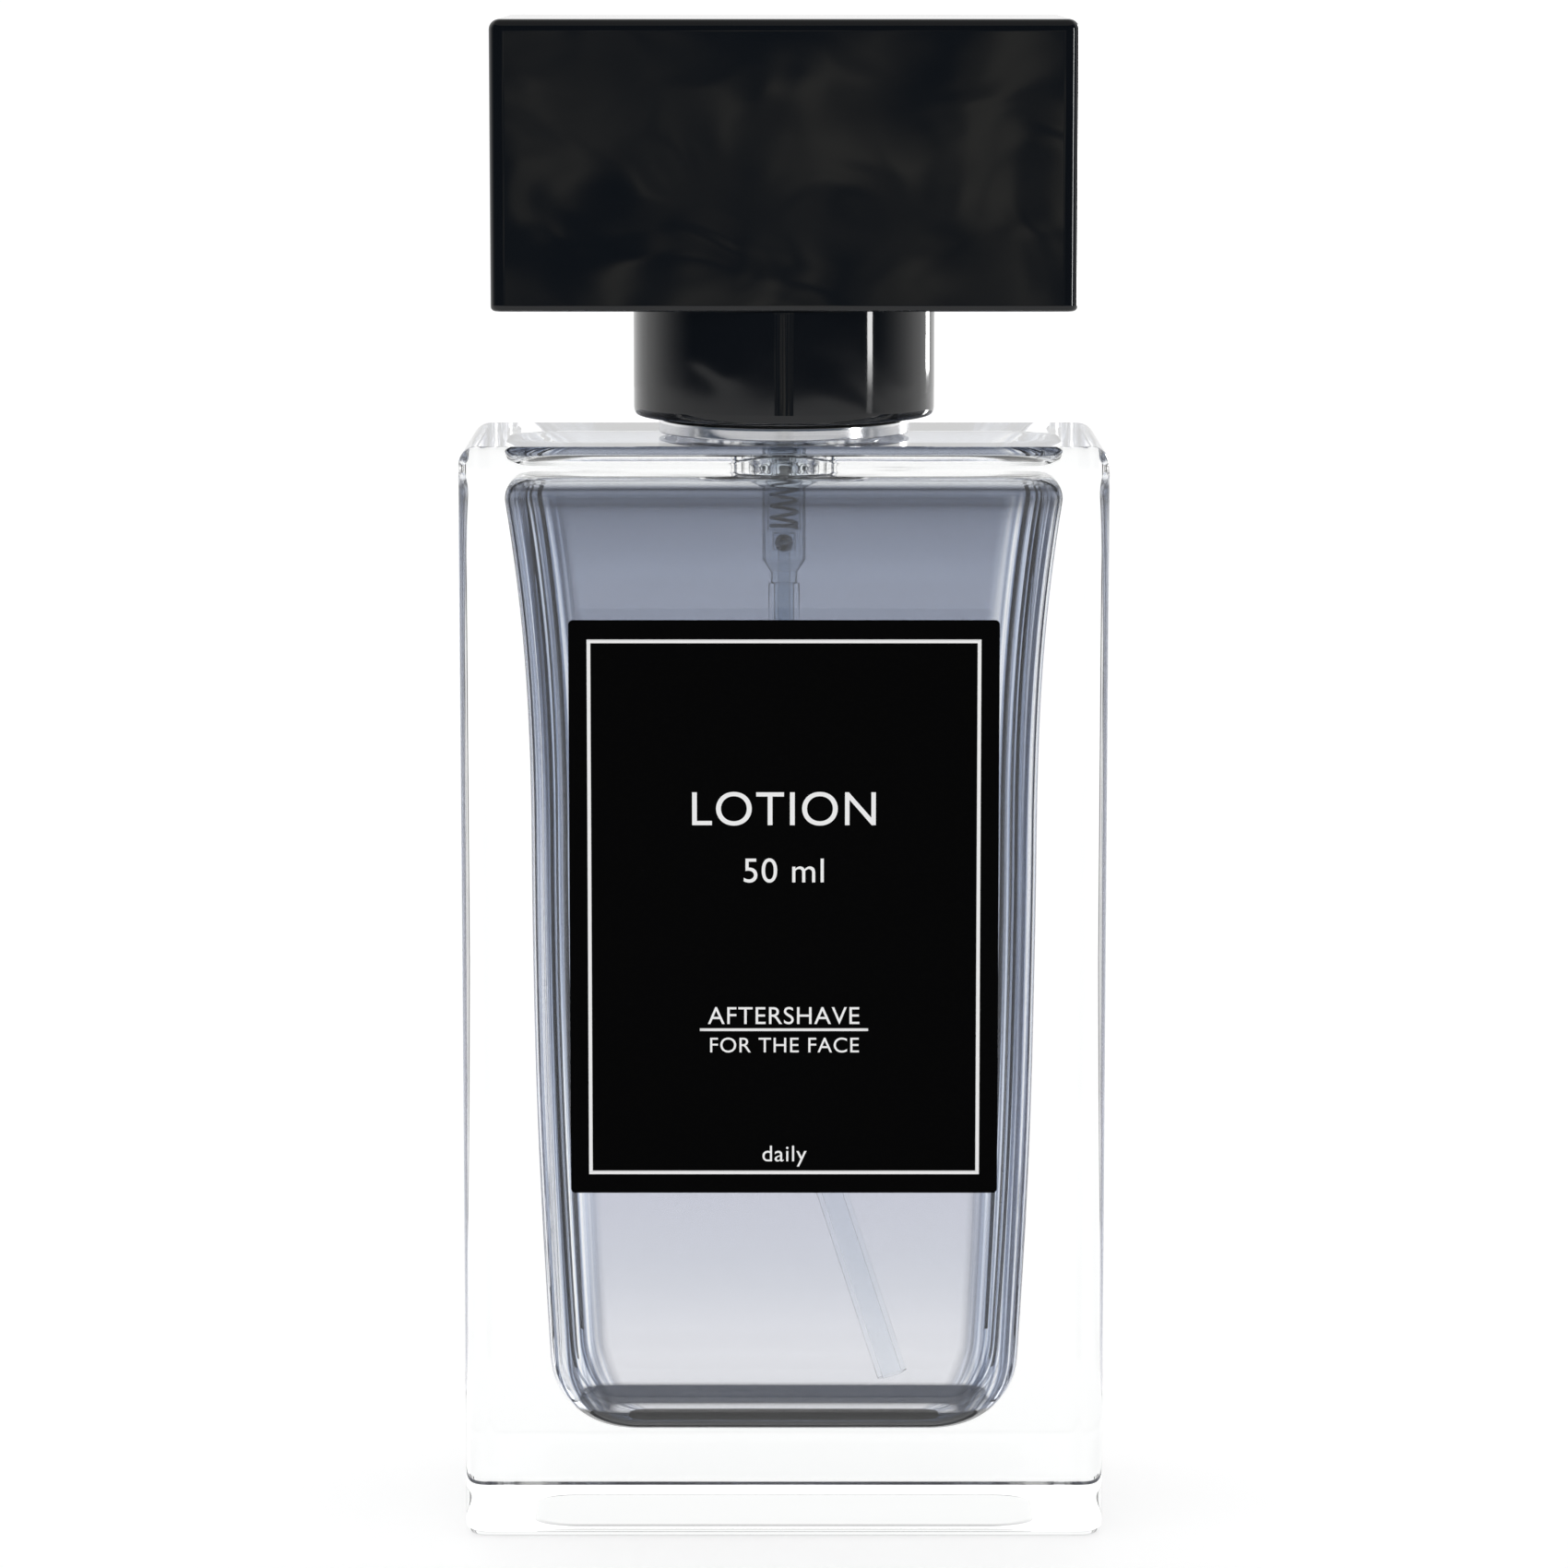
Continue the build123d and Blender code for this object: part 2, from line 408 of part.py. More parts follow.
def cap_liner():
    """The springy inner cup: ribs grip the collar, and a flange and a snap-in catch hold it in the base."""
    top = LINER_CEILING + LINER_LID_T
    catch = BASE_GUIDE_TOP + TURN_GAP
    grip_r, flange_r = SLEEVE_R + GRIP_GAP, SKIRT_BORE_R - TURN_GAP
    liner = turned([
        (LINER_BORE_R, LINER_FOOT), (flange_r, LINER_FOOT), (flange_r, LINER_FOOT + LINER_FLANGE_T),
        (LINER_R, LINER_FOOT + LINER_FLANGE_T),
        (LINER_R, catch), (LINER_CATCH_R, catch), (LINER_R, catch + LINER_CATCH_T), (LINER_R, top), (0, top),
        (0, LINER_CEILING), (LINER_BORE_R, LINER_CEILING),
    ])
    rib_length = (LINER_BORE_R + LINER_R) / 2 - grip_r
    for n in range(LINER_RIBS):
        rib = Pos(grip_r + rib_length / 2, 0, (LINER_FOOT + LINER_RIB_TOP) / 2)
        rib *= Box(rib_length, LINER_RIB_W, LINER_RIB_TOP - LINER_FOOT)
        liner += Rot(0, 0, 360 / LINER_RIBS * n) * rib
    return liner - rod(grip_r, LINER_FOOT - PAST, LINER_RIB_TOP + PAST)


PIECES = (
    glass_bottle, aftershave_fill, front_label, neck_gasket, pump_housing, inlet_ball, return_spring, valve_pin,
    piston, pump_stem, stem_gasket, turret, crimp_ferrule, collar_sleeve, dip_tube, actuator_core,
    actuator_shell, nozzle_insert, cap_shell, cap_base, cap_liner,
)

os.makedirs("parts", exist_ok=True)
for piece in PIECES:
    solid = piece()
    export_step(solid, f"parts/{piece.__name__}.step")
    print(f"{piece.__name__}: {solid.volume / 1000:.3f} cm3")
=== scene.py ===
# %% [markdown]
# # An aftershave bottle with a spray pump and a T-shaped cap
# The CAD model is a fixed frame: every part already has its true place and size, in metres, and the joints
# between the parts are known. This lesson adds the looks around it: smooth glass, a tinted liquid that
# meets the glass the way a real one does, a printed label, bright metal, moulded plastic and a gloss black
# cap.

# %% Load the frame and keep the size of the CAD model
import math

import bpy
import numpy as np
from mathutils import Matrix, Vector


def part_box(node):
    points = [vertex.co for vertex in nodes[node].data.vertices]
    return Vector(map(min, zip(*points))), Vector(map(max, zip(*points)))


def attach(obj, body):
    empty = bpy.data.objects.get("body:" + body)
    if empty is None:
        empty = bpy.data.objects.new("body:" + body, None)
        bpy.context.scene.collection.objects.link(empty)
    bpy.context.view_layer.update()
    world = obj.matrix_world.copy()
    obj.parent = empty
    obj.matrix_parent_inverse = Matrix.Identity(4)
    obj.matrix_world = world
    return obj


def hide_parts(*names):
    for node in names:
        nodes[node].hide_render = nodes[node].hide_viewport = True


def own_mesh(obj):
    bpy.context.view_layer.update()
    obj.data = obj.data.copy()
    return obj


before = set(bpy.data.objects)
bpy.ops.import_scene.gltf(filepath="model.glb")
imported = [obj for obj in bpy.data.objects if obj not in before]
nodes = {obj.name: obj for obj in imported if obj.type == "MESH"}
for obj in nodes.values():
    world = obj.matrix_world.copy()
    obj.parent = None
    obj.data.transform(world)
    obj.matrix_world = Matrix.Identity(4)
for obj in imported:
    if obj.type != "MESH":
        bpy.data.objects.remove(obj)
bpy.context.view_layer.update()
MM = 0.001


# %% [markdown]
# ## Surfaces as grids
# Glass, liquid, cap and collars are all closed skins that run round the upright axis. Such a skin could be
# spun, booleaned or sculpted, but a grid is simpler and cleaner: one number says how far round, the other
# how far along the profile. Each row of the profile is a ring, and a ring can be a circle, a rounded
# rectangle, or anything between the two, which is what a round neck that grows out of a square block needs.

# %% The pattern that every ring shares
CORNER_STEPS = 11             # points along each rounded corner of a ring
SIDE_STEPS = 21               # points along each straight side, crowded towards its two ends


def ring_pattern():
    """Two facts for each point of a ring: which corner it belongs to, as a pair from -1 to 1 that slides
    along the straight sides, and the angle of the corner's arc there, which stands still along a side."""
    corners = np.array([(1, 1), (-1, 1), (-1, -1), (1, -1)], float)
    arc = np.linspace(0, 1, CORNER_STEPS)
    slide = 0.5 - 0.5 * np.cos(np.linspace(0, math.pi, SIDE_STEPS + 2)[1:-1])
    sides, angles = [], []
    for quarter in range(4):
        here, after = corners[quarter], corners[(quarter + 1) % 4]
        sides += [np.tile(here, (CORNER_STEPS, 1)), here + slide[:, None] * (after - here)]
        angles += [(quarter + arc) * math.pi / 2, np.full(SIDE_STEPS, (quarter + 1) * math.pi / 2)]
    return np.vstack(sides).T, np.concatenate(angles)


SIDE, ARC = ring_pattern()
OUTWARD = np.array([np.cos(ARC), np.sin(ARC)])
AROUND = SIDE + OUTWARD
AROUND = AROUND / np.linalg.norm(AROUND, axis=0)
print("each ring has", len(ARC), "points")


# %% [markdown]
# ## Rows
# A profile is a table with one row for each ring: half width, half depth and corner radius of its
# rectangle, the radius of its circle, the share of the circle, and the height. All lengths in the tables
# are millimetres. Every rounded edge gets a short straight row on both sides of it, so that the broad flat
# faces beside it keep truly flat shading: a reflection on gloss or glass shows at once where a flat face
# bends.

# %% Rows of rectangles, of circles, and of the change from one to the other
def box_rows(half_w, half_d, corner, z):
    """Rows of rounded rectangles; each value may be one number or an array."""
    table = np.broadcast_arrays(half_w, half_d, corner, 0.0, 0.0, z)
    return np.stack([np.atleast_1d(np.asarray(column, float)) for column in table], axis=1)


def round_rows(radius, z):
    """Rows of circles."""
    table = np.broadcast_arrays(0.0, 0.0, 0.0, radius, 1.0, z)
    return np.stack([np.atleast_1d(np.asarray(column, float)) for column in table], axis=1)


def change_rows(start, end, steps):
    """Rows that turn a rectangle row into a circle row, or back: both shapes stay, and their shares cross
    over."""
    boxy, circular = (start, end) if start[4] == 0 else (end, start)
    rows = np.repeat(np.array([[*boxy[:3], circular[3], 0.0, 0.0]]), steps, axis=0)
    along = np.linspace(0, 1, steps + 2)[1:-1]
    rows[:, 4] = start[4] + (end[4] - start[4]) * along
    rows[:, 5] = start[5] + (end[5] - start[5]) * along
    return rows


def softened(corners, steps=7, shoulder=0.12):
    """A profile with soft corners. Each corner (radius or width, height, softness) becomes a curve that
    starts and ends its softness away from the corner: the square of what is left times the start, plus
    twice both shares times the corner, plus the square of the share times the end."""
    points = np.array(corners, float)
    out = []
    for n, (place, soft) in enumerate(zip(points[:, :2], points[:, 2])):
        if soft == 0 or n in (0, len(points) - 1):
            out.append(place[None, :])
            continue
        towards = [points[n - 1, :2] - place, points[n + 1, :2] - place]
        reach = [np.linalg.norm(t) for t in towards]
        start, end = (place + t / r * min(soft, r / 2.2) for t, r in zip(towards, reach))
        before, after = (place + t / r * min(soft + shoulder, r / 2.1) for t, r in zip(towards, reach))
        share = np.linspace(0, 1, steps)[:, None]
        curve = (1 - share) ** 2 * start + 2 * share * (1 - share) * place + share**2 * end
        out += [before[None, :], curve, after[None, :]]
    return np.vstack(out)


# %% [markdown]
# ## From rows to a mesh
# A surface has to be closed, with its faces outwards, or glass would bend light the wrong way. The two ends
# of a grid are closed with a fan round one middle point, or the last ring is joined to the first one. The
# signed volume tells whether the faces look out; if they don't, every face is turned over at once.

# %% Rings in space, and the mesh that joins them
def rings(rows):
    """Points of all rings as one array. Rectangle: corner centre plus corner radius times the arc's
    direction. Circle: radius times the direction round the axis. The share mixes the two."""
    half_w, half_d, corner, radius, share, z = (column[:, None] for column in np.asarray(rows, float).T)
    x = SIDE[0] * (half_w - corner) + corner * OUTWARD[0]
    y = SIDE[1] * (half_d - corner) + corner * OUTWARD[1]
    x = x * (1 - share) + radius * AROUND[0] * share
    y = y * (1 - share) + radius * AROUND[1] * share
    return np.stack([x, y, np.broadcast_to(z, x.shape)], axis=2) * MM


def grid_faces(count_v, count_u, joined):
    """Four corners for each cell of the grid; round the ring the last column meets the first one."""
    v = np.arange(count_v if joined else count_v - 1)[:, None]
    u = np.arange(count_u)[None, :]
    above, beside = (v + 1) % count_v, (u + 1) % count_u
    cell = [v * count_u + u, v * count_u + beside, above * count_u + beside, above * count_u + u]
    return np.stack(cell, axis=2).reshape(-1, 4)


def signed_volume(points, faces):
    """A sixth of the sum of the triple products of the triangles of every face."""
    volume = 0.0
    for group in faces:
        for second in range(1, group.shape[1] - 1):
            a, b, c = points[group[:, 0]], points[group[:, second]], points[group[:, second + 1]]
            volume += np.einsum("ij,ij->i", a, np.cross(b, c)).sum() / 6
    return volume


def make_mesh(name, points, faces):
    """One mesh from an array of points and groups of faces, facing out, smooth, at the origin."""
    if signed_volume(points, faces) < 0:
        faces = [group[:, ::-1] for group in faces]
    sizes = np.concatenate([np.full(len(group), group.shape[1]) for group in faces])
    corners = np.concatenate([group.ravel() for group in faces])
    mesh = bpy.data.meshes.new(name)
    mesh.vertices.add(len(points))
    mesh.vertices.foreach_set("co", points.astype(np.float32).ravel())
    mesh.loops.add(len(corners))
    mesh.loops.foreach_set("vertex_index", corners.astype(np.int32))
    mesh.polygons.add(len(sizes))
    mesh.polygons.foreach_set("loop_start", (np.cumsum(sizes) - sizes).astype(np.int32))
    mesh.polygons.foreach_set("use_smooth", np.ones(len(sizes), bool))
    mesh.update(calc_edges=True)
    mesh.validate()
    piece = bpy.data.objects.new(name, mesh)
    bpy.context.scene.collection.objects.link(piece)
    print(f"{name}: {len(points)} points, {abs(signed_volume(points, faces)) / MM**3 / 1000:.2f} ml")
    return piece


def skin(name, grid, joined=False):
    """A closed skin from a grid of points (rings, round, 3): its ends are joined, or closed by fans."""
    count_v, count_u = grid.shape[:2]
    points = grid.reshape(-1, 3)
    faces = [grid_faces(count_v, count_u, joined)]
    if not joined:
        u = np.arange(count_u)
        beside = (u + 1) % count_u
        first, last = len(points), len(points) + 1
        points = np.vstack([points, grid[0].mean(axis=0), grid[-1].mean(axis=0)])
        top = (count_v - 1) * count_u
        fans = np.concatenate([
            np.stack([np.full(count_u, first), beside, u], axis=1),
            np.stack([np.full(count_u, last), top + u, top + beside], axis=1),
        ])
        faces.append(fans)
    return make_mesh(name, points, faces)


# %% [markdown]
# ## The cavity
# The liquid stands in a cavity whose side walls lean out towards the top and in towards the foot, round a
# waist above the middle. Glass and liquid must agree on that wall, so both read the same formula, the one
# the CAD uses: a power of the distance above the waist, a square below it, and arcs that round the floor
# and ceiling. Two things are added that the CAD doesn't have: a low arch in the shoulder, and slow waves in
# the wall.

# %% The formula of the cavity's wall
FLOOR, CEILING, WAIST = 8.0, 93.0, 60.0
WAIST_HALF, FLARE, FLARE_POWER, TAPER = 22.1, 2.5, 2.3, 1.8
HALF_DEPTH, UPRIGHT = 7.5, 5.0
FLOOR_ROUND_X, FLOOR_ROUND_Y, CEILING_ROUND = 6.5, 5.0, 2.4
ARCH, ARCH_FOOT = 1.0, 85.0   # how much lower the shoulder starts in the middle, and where that begins
WALL_WAVE = 0.05              # how uneven the blown wall is


def pulled_in(z, floor_round):
    """How far the rounded floor and ceiling pull a wall in: radius less the chord at that height."""
    low = np.clip(floor_round - (z - FLOOR), 0, floor_round)
    high = np.clip(CEILING_ROUND - (CEILING - z), 0, CEILING_ROUND)
    at_floor = floor_round - np.sqrt(floor_round**2 - low**2)
    return at_floor + CEILING_ROUND - np.sqrt(CEILING_ROUND**2 - high**2)


def cavity_rows(z, grow=0.0):
    """Rows of the cavity at heights z; grow moves the wall out, into the glass."""
    above = np.clip((z - WAIST) / (CEILING - WAIST), 0, 1)
    below = np.clip((WAIST - z) / (WAIST - FLOOR), 0, 1)
    half_w = WAIST_HALF + FLARE * above**FLARE_POWER - TAPER * below**2
    half_w = half_w - pulled_in(z, FLOOR_ROUND_X) + grow
    half_d = HALF_DEPTH - pulled_in(z, FLOOR_ROUND_Y) + grow
    return box_rows(half_w, half_d, UPRIGHT * half_d / HALF_DEPTH, z)


def arched(grid):
    """The cavity's shoulder starts lower in the middle than at the sides: height less the arch times one
    minus the square of the sideways share, times a hat that is 1 where the shoulder starts and 0 at the
    ceiling."""
    x, z = grid[..., 0] / MM, grid[..., 2] / MM
    start = CEILING - CEILING_ROUND
    hat = np.clip(np.minimum((z - ARCH_FOOT) / (start - ARCH_FOOT), (CEILING - z) / CEILING_ROUND), 0, 1)
    moved = grid.copy()
    moved[..., 2] -= ARCH * (1 - np.clip(x / (WAIST_HALF + FLARE), -1, 1) ** 2) * hat**1.5 * MM
    return moved


def uneven(grid, amount):
    """Blown glass is never quite even inside. Three slow waves, each the sine of a slanted distance, push
    the wall in and out along its own outward direction by up to the amount."""
    x, y, z = np.moveaxis(grid / MM, 2, 0)
    wave = np.sin(z / 7.3 + x / 5.1) + np.sin(z / 11.9 - x / 8.7 + y / 3.9) + np.sin(z / 4.7 + y / 4.4 + 1.0)
    moved = grid.copy()
    moved[..., :2] += wave[..., None] / 3 * OUTWARD.T[None, :, :] * amount * MM
    return moved


quarter = np.linspace(0, math.pi / 2, 16)
cavity_z = np.concatenate([
    FLOOR + FLOOR_ROUND_X * (1 - np.cos(quarter)),
    np.linspace(FLOOR + FLOOR_ROUND_X, CEILING - CEILING_ROUND, 64)[1:-1],
    CEILING - CEILING_ROUND + CEILING_ROUND * np.sin(quarter),
])
print("cavity from", FLOOR, "to", CEILING, "mm in", len(cavity_z), "rings, half width", WAIST_HALF, "mm")


# %% [markdown]
# ## The glass block
# The bottle is pressed and blown in one piece: a heavy rectangular block, a shallow panel in its foot, a
# neck with a bead that the pump is crimped over, and the cavity. One grid runs from the middle of the foot,
# up the outside, over the lip and down inside to the middle of the cavity's floor, so it is one closed skin
# and light crosses each wall exactly once. The panel is shallower here than in the CAD.

# %% Profile of the glass, outside then inside
HALF_W, HALF_D, BLOCK_TOP = 28.0, 14.0, 96.0
BLOCK_EDGE, FOOT_EDGE, BLOCK_CORNER, SHOULDER = 1.6, 0.9, 2.0, 0.2
NECK_R, NECK_ROOT, BEAD_R, BORE_R, NECK_TOP = 6.7, 1.2, 7.5, 4.6, 104.0
PANEL_W, PANEL_D, PANEL_DEPTH = 22.0, 8.0, 0.06


def edge_rows(half_w, half_d, corner, edge, z_flat, up, steps=9):
    """A rounded level edge: the rectangle shrinks by the edge's radius less its cosine, while the height
    nears the flat face by the radius times the sine. up is 1 from a wall to its top, -1 from a foot to its
    wall."""
    angle = np.linspace(0, math.pi / 2, steps)[::up]
    inset = edge * (1 - np.cos(angle))
    return box_rows(half_w - inset, half_d - inset, corner - inset, z_flat - up * edge * (1 - np.sin(angle)))


panel_step = np.array([-18.0, -8.0, -0.8, -0.5, -0.2, 0.0, 0.15, 0.4])
panel_lift = PANEL_DEPTH * np.array([1.0, 1.0, 1.0, 0.97, 0.7, 0.25, 0.0, 0.0])
panel_half_d = np.where(panel_step < -1, PANEL_D * (1 + panel_step / PANEL_W), PANEL_D + panel_step)
foot_panel = box_rows(PANEL_W + panel_step, panel_half_d, np.minimum(4.0, panel_half_d * 0.45), panel_lift)
flat_w, flat_d, flat_corner = HALF_W - BLOCK_EDGE - SHOULDER, HALF_D - BLOCK_EDGE - SHOULDER, 0.6
top_flat = box_rows(flat_w, flat_d, flat_corner, BLOCK_TOP)
wall_z = np.concatenate([[FOOT_EDGE + SHOULDER], np.linspace(6, 90, 15), [BLOCK_TOP - BLOCK_EDGE - SHOULDER]])
turn = np.linspace(0, math.pi / 2, 9)
root = round_rows(NECK_R + NECK_ROOT * (1 - np.sin(turn)), BLOCK_TOP + NECK_ROOT * (1 - np.cos(turn)))
lip = softened([
    (NECK_R, BLOCK_TOP + NECK_ROOT, 0), (NECK_R, 99.8, 0.3), (BEAD_R, 100.7, 0.4), (BEAD_R, NECK_TOP, 0.6),
    (BORE_R, NECK_TOP, 0.4), (BORE_R, CEILING, 0.4), (BORE_R + 0.45, CEILING, 0),
])[1:]
lip = round_rows(lip[:, 0], lip[:, 1])
inner_rows = cavity_rows(cavity_z[::-1])
outer_rows = np.vstack([
    foot_panel,
    box_rows(HALF_W - FOOT_EDGE - SHOULDER, HALF_D - FOOT_EDGE - SHOULDER, 0.9, 0.0),
    edge_rows(HALF_W, HALF_D, BLOCK_CORNER, FOOT_EDGE, 0.0, -1),
    box_rows(HALF_W, HALF_D, BLOCK_CORNER, wall_z),
    edge_rows(HALF_W, HALF_D, BLOCK_CORNER, BLOCK_EDGE, BLOCK_TOP, 1),
    top_flat,
    change_rows(top_flat[0], root[0], 6),
    root,
    lip,
    change_rows(lip[-1], inner_rows[0], 4),
])
inner_rings = uneven(arched(rings(inner_rows)), WALL_WAVE)
glass_block = skin("glass_block", np.concatenate([rings(outer_rows), inner_rings]))
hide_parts("glass_bottle")
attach(glass_block, "bottle")


# %% [markdown]
# ## The liquid
# A renderer knows only "air outside, stuff inside". If the liquid stopped short of the glass, a film of air
# would show as a mirror; if it ended exactly on the wall, the two faces would flicker. So the liquid
# reaches a hair into the glass: light then enters the liquid as if from air and leaves the glass as if into
# air, and the two bends multiply to the bend of glass against liquid. The bottle is filled up to the
# ceiling of the cavity. The skin isn't cut out round the pump, so the pump stands inside it, and the
# pressed pin passes through it.

# %% The liquid, and where its upright corners are
REACH = 0.03                  # how far the liquid's skin reaches into the glass
wet_wall = cavity_rows(cavity_z, REACH)
wet_wall[-1, 5] += REACH
under_neck = round_rows(np.array([5.2, 3.4, 1.6]), CEILING + REACH)
liquid_rows = np.vstack([wet_wall, change_rows(wet_wall[-1], under_neck[0], 4), under_neck])
liquid_grid = uneven(arched(rings(liquid_rows)), WALL_WAVE)
liquid = skin("aftershave_liquid", liquid_grid)
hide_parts("aftershave_fill")
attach(liquid, "bottle")


def keep_for_shading(name, along_ring):
    """Store one value for each point of the liquid, the same in every ring, and 0 at the two poles."""
    values = np.concatenate([np.tile(along_ring, len(liquid_rows)), [0.0, 0.0]])
    liquid.data.attributes.new(name, "FLOAT", "POINT").data.foreach_set("value", values.astype(np.float32))


# In the upright corners the liquid's skin gets painted dark bands and bright highlight lines, where its curve
# bends light; these values say where the corners are and which way they turn.
keep_for_shading("corner", np.sqrt(np.abs(np.sin(2 * ARC))))  # 1 in the middle of a corner, 0 on a flat wall
keep_for_shading("turn", np.cos(2 * ARC))                     # from 1 to -1, or back, through a corner
print("liquid with", len(liquid_rows), "rings, of which", int((np.sin(2 * ARC) ** 2 > 0.25).sum()),
      "points in each are well inside a corner")


# %% [markdown]
# ## The cap
# The cap is a moulded T: a block of gloss black plastic over a round skirt. The block is a shell, open
# below; its base plate carries the skirt and a guide ring for the liner. The block is one grid from the
# middle of its inner ceiling, down inside, round the rim and up outside. The base goes once round its own
# section, so its grid joins its last ring to its first.

# %% The block and the base of the cap
CAP_HALF_W, CAP_HALF_D, CAP_FOOT, CAP_TOP, CAP_WALL = 25.1, 13.5, 107.6, 132.4, 1.6
CAP_CORNER, CAP_EDGE, CAP_RIM = 1.1, 0.9, 0.4
inner_w, inner_d, inner_corner = CAP_HALF_W - CAP_WALL, CAP_HALF_D - CAP_WALL, 0.5
cap_wall_z = np.array([CAP_FOOT + CAP_RIM + 0.15, 112.0, 118.0, 124.0, CAP_TOP - CAP_EDGE - 0.15])
lid_shares = np.array([0.93, 0.6, 0.25])
cap_rows = np.vstack([
    box_rows(inner_w * lid_shares[::-1], inner_d * lid_shares[::-1], 0.4, CAP_TOP - CAP_WALL),
    box_rows(inner_w - 0.25, inner_d - 0.25, 0.3, CAP_TOP - CAP_WALL),
    box_rows(inner_w, inner_d, inner_corner, np.array([CAP_TOP - CAP_WALL - 0.25, 120.0, CAP_FOOT + 0.2])),
    box_rows(inner_w + 0.15, inner_d + 0.15, 0.6, CAP_FOOT),
    box_rows(CAP_HALF_W - CAP_RIM - 0.12, CAP_HALF_D - CAP_RIM - 0.12, 0.62, CAP_FOOT),
    edge_rows(CAP_HALF_W, CAP_HALF_D, CAP_CORNER, CAP_RIM, CAP_FOOT, -1, 6),
    box_rows(CAP_HALF_W, CAP_HALF_D, CAP_CORNER, cap_wall_z),
    edge_rows(CAP_HALF_W, CAP_HALF_D, CAP_CORNER, CAP_EDGE, CAP_TOP, 1, 9),
    box_rows((CAP_HALF_W - CAP_EDGE - 0.15) * np.array([1, 0.85, 0.5, 0.2]),
             (CAP_HALF_D - CAP_EDGE - 0.15) * np.array([1, 0.85, 0.5, 0.2]), 0.15, CAP_TOP),
])
cap_block = skin("cap_block", rings(cap_rows))
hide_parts("cap_shell")
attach(cap_block, "cap")

SKIRT_R, SKIRT_BORE, SKIRT_FOOT, SKIRT_EDGE = 13.2, 11.9, 97.8, 0.8
PLATE_FOOT, PLATE_TOP, GUIDE_R, GUIDE_TOP = 107.9, 109.7, 11.6, 112.6
LINER_BORE, LINER_SHOULDER = 10.28, 99.58
plate_z = np.array([PLATE_FOOT, PLATE_FOOT + 0.2, PLATE_TOP - 0.2, PLATE_TOP])
plate = box_rows(inner_w - 0.05, inner_d - 0.05, 0.45, plate_z)
below_plate = softened([
    (SKIRT_BORE, 98.5, 0), (SKIRT_BORE, SKIRT_FOOT, 0.25), (SKIRT_R, SKIRT_FOOT, SKIRT_EDGE),
    (SKIRT_R, CAP_FOOT, 0.1), (GUIDE_R, CAP_FOOT, 0.1), (GUIDE_R, PLATE_FOOT, 0),
], steps=9)
above_plate = softened([
    (GUIDE_R, PLATE_TOP, 0), (GUIDE_R, GUIDE_TOP, 0.2), (LINER_BORE, GUIDE_TOP, 0.2),
    (LINER_BORE, LINER_SHOULDER, 0.1), (SKIRT_BORE, LINER_SHOULDER, 0.1), (SKIRT_BORE, 98.8, 0),
])
below_plate, above_plate = (round_rows(part[:, 0], part[:, 1]) for part in (below_plate, above_plate))
base_rows = np.vstack([
    below_plate, change_rows(below_plate[-1], plate[0], 3), plate,
    change_rows(plate[-1], above_plate[0], 3), above_plate,
])
cap_skirt = skin("cap_skirt", rings(base_rows), joined=True)
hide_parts("cap_base")
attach(cap_skirt, "cap")


# %% [markdown]
# ## The collar and the button
# Under the cap sit two drawn aluminium parts. The collar is a thin stepped sleeve that hides the crimped
# ferrule. The button's cover is a cup with a shallow dish for the fingertip. Thin metal is never sharp:
# each fold is a small curve, and that curve is what catches the light, so the collar is a turned profile of
# its own; the button's cover keeps its shape from the CAD model.

# %% The collar's sleeve
SLEEVE_R, SLEEVE_T, SLEEVE_FOOT, SLEEVE_TOP, STEP_R, STEP_TOP = 8.5, 0.45, 96.3, 108.6, 11.0, 97.7
STEM_HOLE, LID_T = 4.4, 0.35  # radius of the hole in the sleeve's top, and how thick that top is
sleeve_profile = softened([
    (STEM_HOLE, SLEEVE_TOP - 0.17, 0), (STEM_HOLE, SLEEVE_TOP - LID_T, 0.1),
    (SLEEVE_R - SLEEVE_T, SLEEVE_TOP - LID_T, 0.15), (SLEEVE_R - SLEEVE_T, SLEEVE_FOOT, 0.12),
    (SLEEVE_R, SLEEVE_FOOT, 0.12), (SLEEVE_R, STEP_TOP - SLEEVE_T, 0.15),
    (STEP_R - SLEEVE_T, STEP_TOP - SLEEVE_T, 0.2), (STEP_R - SLEEVE_T, SLEEVE_FOOT, 0.12),
    (STEP_R, SLEEVE_FOOT, 0.12), (STEP_R, STEP_TOP, 0.5), (SLEEVE_R, STEP_TOP, 0.25),
    (SLEEVE_R, SLEEVE_TOP, 0.5),
    (STEM_HOLE, SLEEVE_TOP, 0.1), (STEM_HOLE, SLEEVE_TOP - 0.12, 0),
], shoulder=0.05)
collar = skin("collar_dress", rings(round_rows(sleeve_profile[:, 0], sleeve_profile[:, 1])), joined=True)
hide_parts("collar_sleeve")
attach(collar, "bottle")


# %% [markdown]
# ## Pump parts seen through the glass
# The dip tube and the return spring are both a circle carried along a path. The path of the tube is a
# straight drop, a wide arc and a straight tail that leans to the right; the path of the spring is a helix
# whose end turns lie flat against each other, as on a real compression spring. A frame of two directions
# travels along each path: for the tube one of them is always +Y, for the spring it always points away from
# the axis.

# %% A circle carried along a path
def carried(path, side, radius, around):
    """Rings along a path: at each point, cosine times the side direction plus sine times the direction
    square to both the side and the path."""
    ahead = np.gradient(path, axis=0)
    ahead = ahead / np.linalg.norm(ahead, axis=1, keepdims=True)
    side = side - ahead * np.sum(side * ahead, axis=1, keepdims=True)
    side = side / np.linalg.norm(side, axis=1, keepdims=True)
    across = np.cross(ahead, side)
    angle = np.linspace(0, 2 * math.pi, around, endpoint=False)[None, :, None]
    ring = np.cos(angle) * side[:, None, :] + np.sin(angle) * across[:, None, :]
    return (path[:, None, :] + radius * ring) * MM


